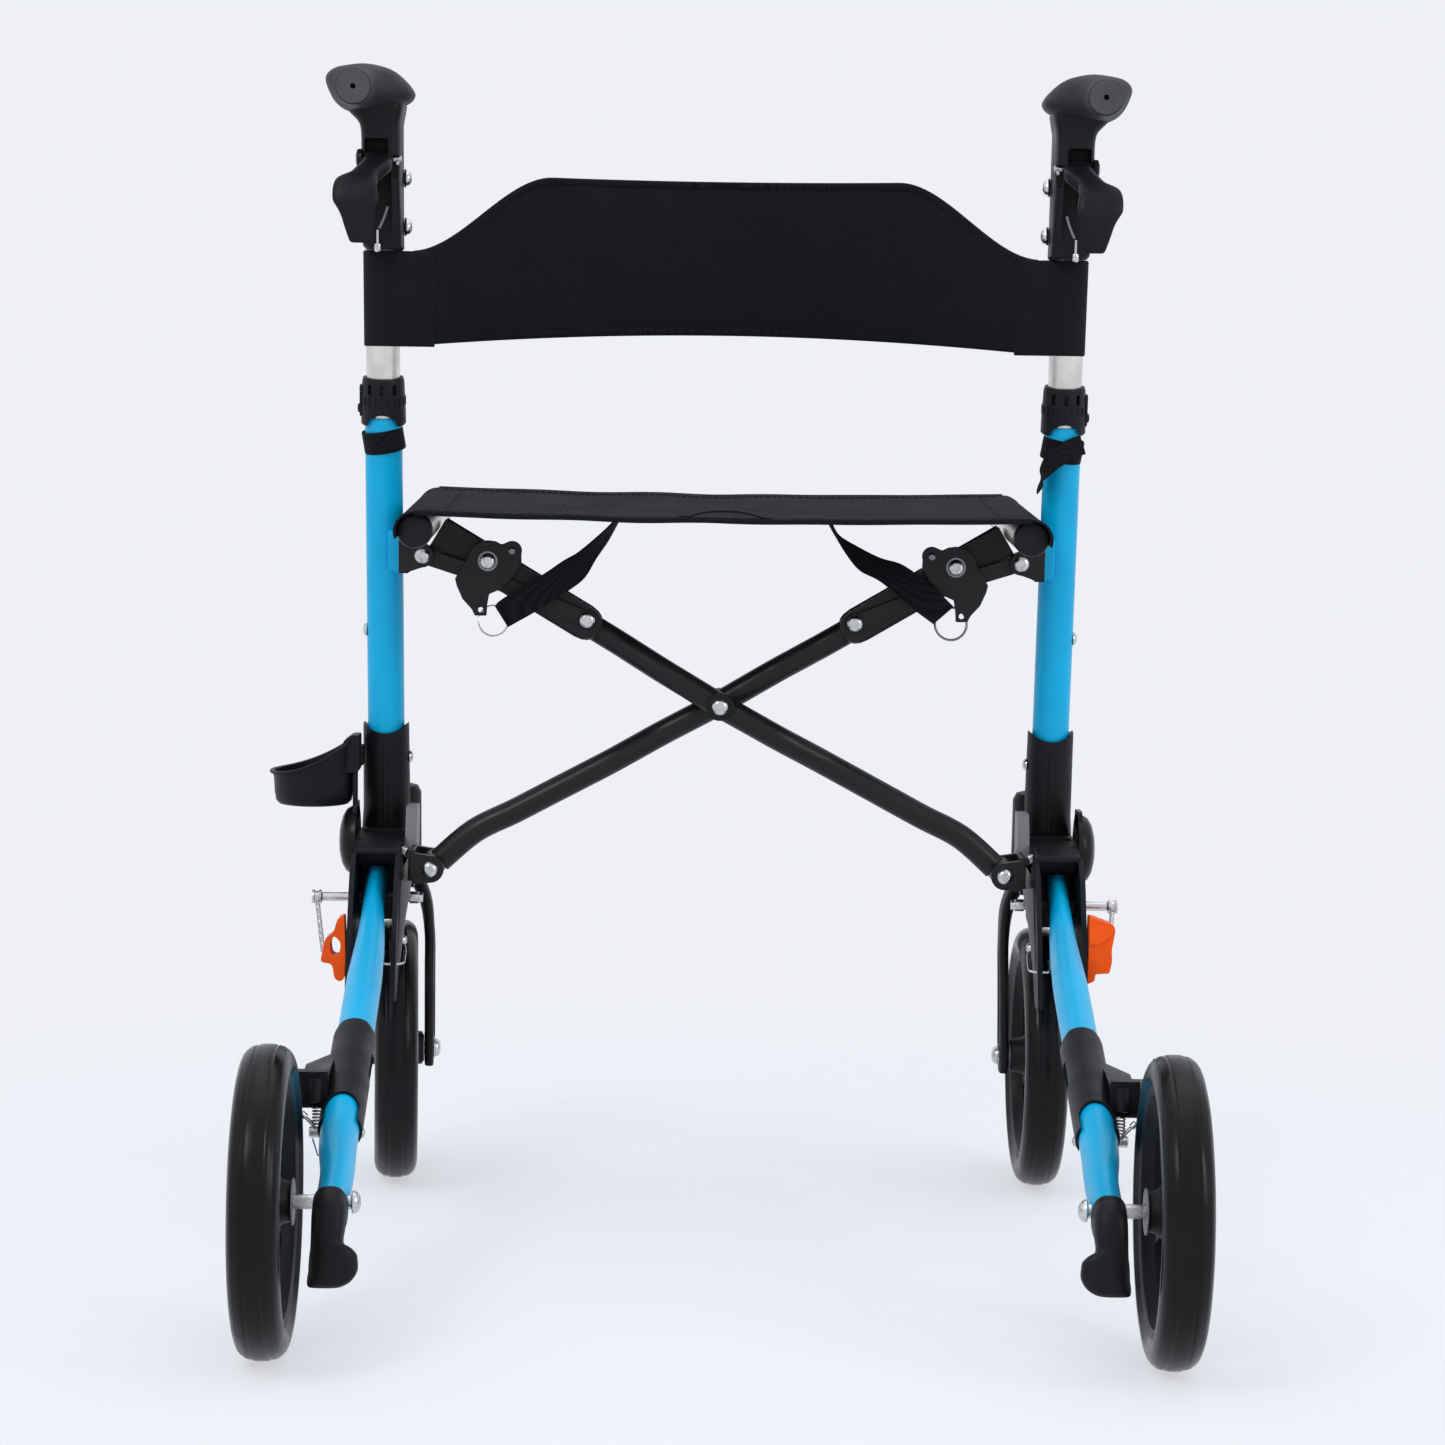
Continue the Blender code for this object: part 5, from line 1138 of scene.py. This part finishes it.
def build_backrest():
    """Sewn strap: two cloth faces over thin foam, bound edges and stitched sleeves on the posts."""
    columns, rows, half = 96, 22, 0.233
    mesh = bmesh.new()
    faces = []
    for face in (0, 1):
        grid = []
        for i in range(columns + 1):
            x = -half + 2.0 * half * i / columns
            low, high, bow = back_edges(x)
            slope = (back_edges(x + 0.001)[2] - back_edges(x - 0.001)[2]) / 0.002
            normal = Vector((-slope, 1.0, 0.0)).normalized()
            column = []
            for j in range(rows + 1):
                t = j / rows
                puff = 0.0011 + 0.0021 * (1.0 - (2 * t - 1) ** 6) * min(1.0, (half - abs(x)) / 0.03)
                ripple = 0.0008 * math.sin(46 * x + 2.2 * t) * math.sin(3.14 * t) + 0.0005 * math.sin(121 * x
                    + 5 * t)
                lean_back = -0.012 * (t - 0.5)
                point = Vector((x, bow + lean_back,
                    low + (high - low) * t)) + normal * ((puff if face else -puff) + ripple)
                column.append(mesh.verts.new(point))
            grid.append(column)
        faces.append(grid)
    for grid in faces:
        for i in range(columns):
            for j in range(rows):
                mesh.faces.new((grid[i][j], grid[i + 1][j], grid[i + 1][j + 1], grid[i][j + 1]))
    back, front = faces
    for i in range(columns):
        for j in (0, rows):
            mesh.faces.new((back[i][j], back[i + 1][j], front[i + 1][j], front[i][j]))
    for j in range(rows):
        for i in (0, columns):
            mesh.faces.new((back[i][j], front[i][j], front[i][j + 1], back[i][j + 1]))
    band = piece("backrest_band", mesh, "back_weave", "left_handle", ("backrest_fabric",), angle=60)
    trims, stitches = [], []
    for edge in (0, 1):
        path, seam = [], []
        for i in range(121):
            x = -half + 2.0 * half * i / 120
            low, high, bow = back_edges(x)
            t = 0.5 if edge else -0.5
            path.append((x, bow - 0.012 * t, (high, low)[edge == 0]))
            inset = -0.0085 if edge else 0.0085
            seam.append((x, bow - 0.012 * t - 0.0024, (high, low)[edge == 0] + inset))
        trims.append(sweep(path, [(0.0027, 0.003)] * len(path), (0, 1, 0), 12, 3.0))
        for start in range(2, 119, 2):
            a, b = Vector(seam[start]), Vector(seam[start + 1])
            stitches.append(wire([a + (b - a) * 0.1, a + (b - a) * 0.8], 0.00035, 5))
    binding = piece("backrest_binding", merge(*trims), "webbing", "left_handle", angle=60)
    thread = piece("backrest_stitching", merge(*stitches), "thread", "left_handle", angle=60)
    for thing in (band, binding, thread):
        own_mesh(thing)
    for prefix, side in SIDES:
        build_back_sleeve(prefix, side)


def rail_height(y):
    """Height of a seat rail centre line, which rises slightly forwards."""
    return RAIL[1] + RAIL_LIFT + RAIL_TILT * (y - BRACE_Y)


def seat_height(x, y):
    """Sling seat: sags between the rails, a little more in the middle of its depth."""
    share = min(1.0, abs(x) / 0.225)
    sag = 0.004 * (1.0 - share ** 2) * (0.75 + 0.5 * (1.0 - ((y - 0.51) / 0.132) ** 2))
    ripple = 0.0005 * math.sin(70 * x + 9 * y) + 0.0004 * math.sin(38 * y - 55 * x)
    return rail_height(y) + 0.0148 - sag + ripple * (1.0 - share)


def build_seat():
    """Woven sling wrapped over both rails, with double hems front and back, stitching and a pull tab."""
    profile = []
    for step in range(9):
        angle = math.radians(200 - 110 * step / 8)
        profile.append((-RAIL[0] + 0.0146 * math.cos(angle), 0.0146 * math.sin(angle)))
    for step in range(1, 60):
        profile.append((-RAIL[0] + 2 * RAIL[0] * step / 60, None))
    for step in range(9):
        angle = math.radians(90 - 110 * step / 8)
        profile.append((RAIL[0] + 0.0146 * math.cos(angle), 0.0146 * math.sin(angle)))
    low_y, high_y, steps = 0.379, 0.641, 40
    mesh = bmesh.new()
    sheets = []
    for level in (0.0, -0.002):
        grid = []
        for x, rise in profile:
            column = []
            for j in range(steps + 1):
                y = low_y + (high_y - low_y) * j / steps
                edge = min(y - low_y, high_y - y)
                hem = 0.0008 if edge < 0.017 else 0.0
                if rise is None:
                    point = Vector((x, y, seat_height(x, y) + (hem if level == 0.0 else level - hem)))
                else:
                    heading = Vector((x - math.copysign(RAIL[0], x), 0, rise)).normalized()
                    point = Vector((x, y,
                        rail_height(y) + rise)) + heading * (hem * 0.5 if level == 0.0 else -0.0011)
                column.append(mesh.verts.new(point))
            grid.append(column)
        sheets.append(grid)
    top, under = sheets
    last = len(profile) - 1
    for grid in sheets:
        for i in range(last):
            for j in range(steps):
                mesh.faces.new((grid[i][j], grid[i + 1][j], grid[i + 1][j + 1], grid[i][j + 1]))
    for i in range(last):
        for j in (0, steps):
            mesh.faces.new((top[i][j], top[i + 1][j], under[i + 1][j], under[i][j]))
    for j in range(steps):
        for i in (0, last):
            mesh.faces.new((top[i][j], under[i][j], under[i][j + 1], top[i][j + 1]))
    seat = piece("seat_sling", mesh, "seat_weave", None, ("seat_fabric",), angle=50)
    stitches, cords = [], []
    for y in (0.393, 0.3955, 0.6245, 0.627):
        for step in range(86):
            x = -0.219 + 0.438 * step / 86
            a = Vector((x, y, seat_height(x, y) + 0.0007))
            b = Vector((x + 0.0032, y, seat_height(x + 0.0032, y) + 0.0007))
            stitches.append(wire([a, b], 0.00036, 5))
    for x in (-0.204, 0.204):
        for step in range(52):
            y = 0.382 + 0.256 * step / 52
            stitches.append(wire([Vector((x, y, seat_height(x, y) + 0.0004)),
                Vector((x, y + 0.0032, seat_height(x, y + 0.0032) + 0.0004))], 0.00036, 5))
    thread = piece("seat_stitching", merge(*stitches), "thread", None, angle=60)
    for y in (0.3792, 0.6408):
        path = [(x, y, seat_height(x, y) - 0.0008) for x in [(-0.224 + 0.448 * i / 60) for i in range(61)]]
        cords.append(sweep(path, [(0.0018, 0.0021)] * len(path), (0, 1, 0), 10, 2.5))
    hems = piece("seat_hems", merge(*cords), "webbing", None, angle=60)
    tab = mm([(-30, 384), (-25.5, 386), (-10, 387.2), (12, 387.4), (27, 386.2), (33, 384.2)])
    route = [(x, y, seat_height(x, y) + 0.0012 + 0.0052 * max(0.0, 1.0 - ((x - 0.0015) / 0.029) ** 2)) for x,
        y in tab]
    handle = piece("seat_pull_strap", strap(smooth_path(route, 6), (0, 1, 0), 0.015, 0.0018), "webbing", None,
        angle=60)
    for thing in (seat, thread, hems, handle):
        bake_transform(thing)
    for prefix, side, body in (("left", -1, "brace_a"), ("right", 1, "brace_b")):
        build_release_strap(prefix, side, body)


def build_release_strap(prefix, side, body):
    """Webbing that hangs on edge from the seat and turns flat towards the hook's ring."""
    if side < 0:
        first = mm([(-79, 514.8), (-89.9, 504), (-106.8, 489.6), (-118.2, 482.9), (-133.8, 472.2),
            (-163.6, 453.7), (-169.2, 447.9)])
        second = mm([(-77.3, 513.4), (-85.5, 497.6), (-94.1, 484.5), (-102.4, 470.2), (-113.7, 460.8),
            (-133.5, 447.6), (-159.4, 432.5)])
    else:
        first = mm([(76.9, 516), (83.6, 504.5), (92.8, 490.1), (102.7, 478.9), (119, 470.3), (142.1, 451.2),
            (158.6, 439.1)])
        second = mm([(81, 516.1), (87.7, 503.8), (100.8, 495.8), (118.7, 487.2), (136.7, 481.8), (159.8, 465),
            (173.6, 452.4)])
    count = len(first)
    rows = []
    edges = [smooth_path(first, 5), smooth_path(second, 5)]
    depths = smooth_path([(0.46 - 0.008 * index / (count - 1),
        0.0085 * (1.0 - index / (count - 1))) for index in range(count)], 5)
    for a, b, (y, skew) in zip(edges[0], edges[1], depths):
        a, b = Vector((a[0], y - skew, a[1])), Vector((b[0], y + skew, b[1]))
        out = (b - a).cross(Vector((1, 0, 0.4))).normalized()
        if out.y > 0:
            out = -out
        rows.append([a + out * 0.0008, b + out * 0.0008, b - out * 0.0008, a - out * 0.0008])
    piece(prefix + "_release_strap", loft(rows), "webbing", body, bevel=0.0003, segments=1, angle=60)


def build_ties():
    """Hook-and-loop ties round the tops of the uprights; the right one has a loose tail."""
    for prefix, side in SIDES:
        x = side * UPRIGHT_X
        middle = lean_point(x, 0.57)
        tilt = FRAME @ Matrix.Translation(middle) @ Matrix.Rotation(LEAN, 4,
            "X") @ Matrix.Rotation(math.radians(side * 9), 4, "Y")
        band = sleeve((0, 0, -0.0085), (0, 0, 0.0085), 0.0157, 0.0143, 48)
        piece(prefix + "_tie", band, "webbing", prefix + "_frame", (), tilt, 0.0004, 1)
    tail = mm([(270, 479, 574), (260, 475, 570), (248, 474, 562), (240, 476, 550), (238.5, 480, 539)])
    piece("right_tie_tail", strap(smooth_path(tail, 6), (0.25, 0.2, 0.95), 0.015, 0.0014), "webbing",
        "right_frame")


def build_clevis(prefix, side):
    """Clevis that holds the foot of a scissor tube."""
    body = prefix + "_frame"
    low, high = sorted((side * 0.233, side * 0.2292))
    base = slab((low, 0.4622, 0.2338), (high, 0.5098, 0.2622))
    outline = sided([(0.231, 0.236), (0.231, 0.26)] + arc(FOOT, 0.0104, 90, 270, 14), side)
    shells = [base] + [prism(outline, "Y", *layer) for layer in ((0.4627, 0.468), (0.504, 0.5093))]
    piece(prefix + "_clevis", merge(*shells), "black_paint", body, (prefix + "_brace_clevis",), bevel=0.0007,
        segments=2)
    bolt = merge(button_bolt((side * FOOT[0], 0.4627, FOOT[1]), (0, -1, 0), 0.0061, 0.0038),
        rod((side * FOOT[0], 0.463, FOOT[1]), (side * FOOT[0], 0.511, FOOT[1]), 0.0039),
        turned((side * FOOT[0], 0.5093, FOOT[1]), (0, 1, 0), [(0, 0.007), (0.0055, 0.007)], 6))
    piece(prefix + "_clevis_bolt", bolt, "zinc_steel", body)


def build_cup():
    """Clip-on cup for a walking stick: a short bowl whose rim climbs to its clip, on a thin strip."""
    centre = Vector((-0.31, 0.515, 0.0))
    levels = [(0.2905, 0.0245, 0.0), (0.2909, 0.0265, 0.0), (0.2935, 0.029, 0.0), (0.3, 0.03, 0.0),
        (0.31, 0.0305, 0.15), (0.318, 0.0309, 0.6), (0.324, 0.0314, 1.0), (0.3244, 0.0336, 1.0),
        (0.3262, 0.0338, 1.0), (0.3268, 0.0328, 1.0), (0.3262, 0.0302, 1.0), (0.318, 0.0293, 0.6),
        (0.31, 0.0288, 0.15), (0.3, 0.0282, 0.0), (0.2955, 0.026, 0.0), (0.2935, 0.02, 0.0)]
    rows = []
    for level, size, weight in levels:
        row = ring(centre + Vector((0, 0, level)), (1, 0, 0), (0, 1, 0), size, size, 56)
        for point in row:
            t = min(1.0, max(0.0, (point.x - centre.x + 0.033) / 0.066))
            point.z += weight * (0.0275 * t * t - 0.01)
            point.x = min(point.x, -0.2746)
        rows.append(row)
    piece("cup", loft(rows), "black_plastic", "left_frame", ("cup_holder",), bevel=0.0, angle=40)
    clip = prism(rounded(mm([(-286.5, 315.7), (-276, 315.7), (-274.3, 318), (-274.3, 344.8), (-280, 344.8),
        (-286.5, 340)]), 0.0015), "Y", 0.499, 0.522)
    neck = slab((-0.275, 0.508, 0.3206), (-0.272, 0.525, 0.3357))
    strip = slab((-0.2792, 0.501, 0.2886), (-0.276, 0.512, 0.3165))
    piece("cup_clip", merge(clip, neck, strip), "black_plastic", "left_frame", (), bevel=0.0008)


# --- stage, light and camera ----------------------------------------------------------------------
def build_stage():
    """A pale floor that fades into an even studio background of the same tone."""
    floor = bmesh.new()
    bmesh.ops.create_grid(floor, x_segments=1, y_segments=1, size=3.0)
    data = bpy.data.meshes.new("floor")
    floor.to_mesh(data)
    floor.free()
    thing = bpy.data.objects.new("floor", data)
    bpy.context.scene.collection.objects.link(thing)
    n = Nodes("pale_floor", 0.9, 0.0, Specular_IOR_Level=0.0)
    n.shader.inputs["Base Color"].default_value = (0.8, 0.815, 0.86, 1.0)
    mapping = n.add("ShaderNodeMapping")
    mapping.inputs["Scale"].default_value = (0.9, 0.9, 1.0)
    n.link(n.place, mapping.inputs["Vector"])
    fade = n.add("ShaderNodeTexGradient", gradient_type="SPHERICAL")
    n.link(mapping.outputs["Vector"], fade.inputs["Vector"])
    n.link(n.ramp(fade.outputs["Fac"], 0.0, 0.45, 0.0, 0.8), n.shader.inputs["Alpha"])
    data.materials.append(n.material)
    world = bpy.data.worlds.new("studio")
    world.use_nodes = True
    world.node_tree.nodes["Background"].inputs["Color"].default_value = (0.855, 0.871, 0.922, 1.0)
    world.node_tree.nodes["Background"].inputs["Strength"].default_value = 1.0
    bpy.context.scene.world = world
    bpy.context.scene.view_settings.view_transform = "Standard"


def add_light(name, location, target, size, power):
    """Rectangular studio light aimed at a point."""
    data = bpy.data.lights.new(name, "AREA")
    data.shape = "RECTANGLE"
    data.size, data.size_y = size
    data.energy = power
    thing = bpy.data.objects.new(name, data)
    thing.location = location
    heading = Vector(target) - Vector(location)
    thing.rotation_euler = heading.to_track_quat("-Z", "Y").to_euler()
    bpy.context.scene.collection.objects.link(thing)


def build_camera():
    """A long lens behind the user's place, a little above the handles and tipped slightly down."""
    yaw, pitch, roll = 0.0107, 0.1001, 0.0145
    forward = Vector((math.sin(yaw) * math.cos(pitch), math.cos(yaw) * math.cos(pitch), -math.sin(pitch)))
    level = Vector((math.cos(yaw), -math.sin(yaw), 0.0))
    over = level.cross(forward)
    right = level * math.cos(roll) + over * math.sin(roll)
    up = over * math.cos(roll) - level * math.sin(roll)
    data = bpy.data.cameras.new("camera")
    data.sensor_width = 36.0
    data.lens = 91.39
    thing = bpy.data.objects.new("camera", data)
    bpy.context.scene.collection.objects.link(thing)
    turn = Matrix((right, up, -forward)).transposed().to_4x4()
    thing.matrix_world = Matrix.Translation(Vector((-0.0273, -2.2836, 0.6379)) + SHIFT) @ turn
    bpy.context.scene.camera = thing


def main():
    build_camera()
    build_stage()
    add_light("key", (-1.6, -1.9, 2.6), (0, 0, 0.4), (0.7, 1.1), 26)
    add_light("fill", (2.2, -1.4, 1.4), (0, 0, 0.4), (0.5, 1.2), 14)
    add_light("top", (0.2, 0.5, 3.0), (0, 0, 0.3), (2.6, 2.6), 16)
    build_wheels()
    for prefix, side in SIDES:
        build_castor(prefix, side)
        build_leg(prefix, side)
        build_upright(prefix, side)
        build_housing(prefix, side)
        build_release(prefix, side)
        build_clevis(prefix, side)
        build_toggle(prefix, side)
        build_hook(prefix, side)
        build_handle(prefix, side)
    build_brace("brace_b", "right", 1)
    build_brace("brace_a", "left", -1)
    build_centre_bolt()
    build_backrest()
    build_seat()
    build_ties()
    build_cup()


main()
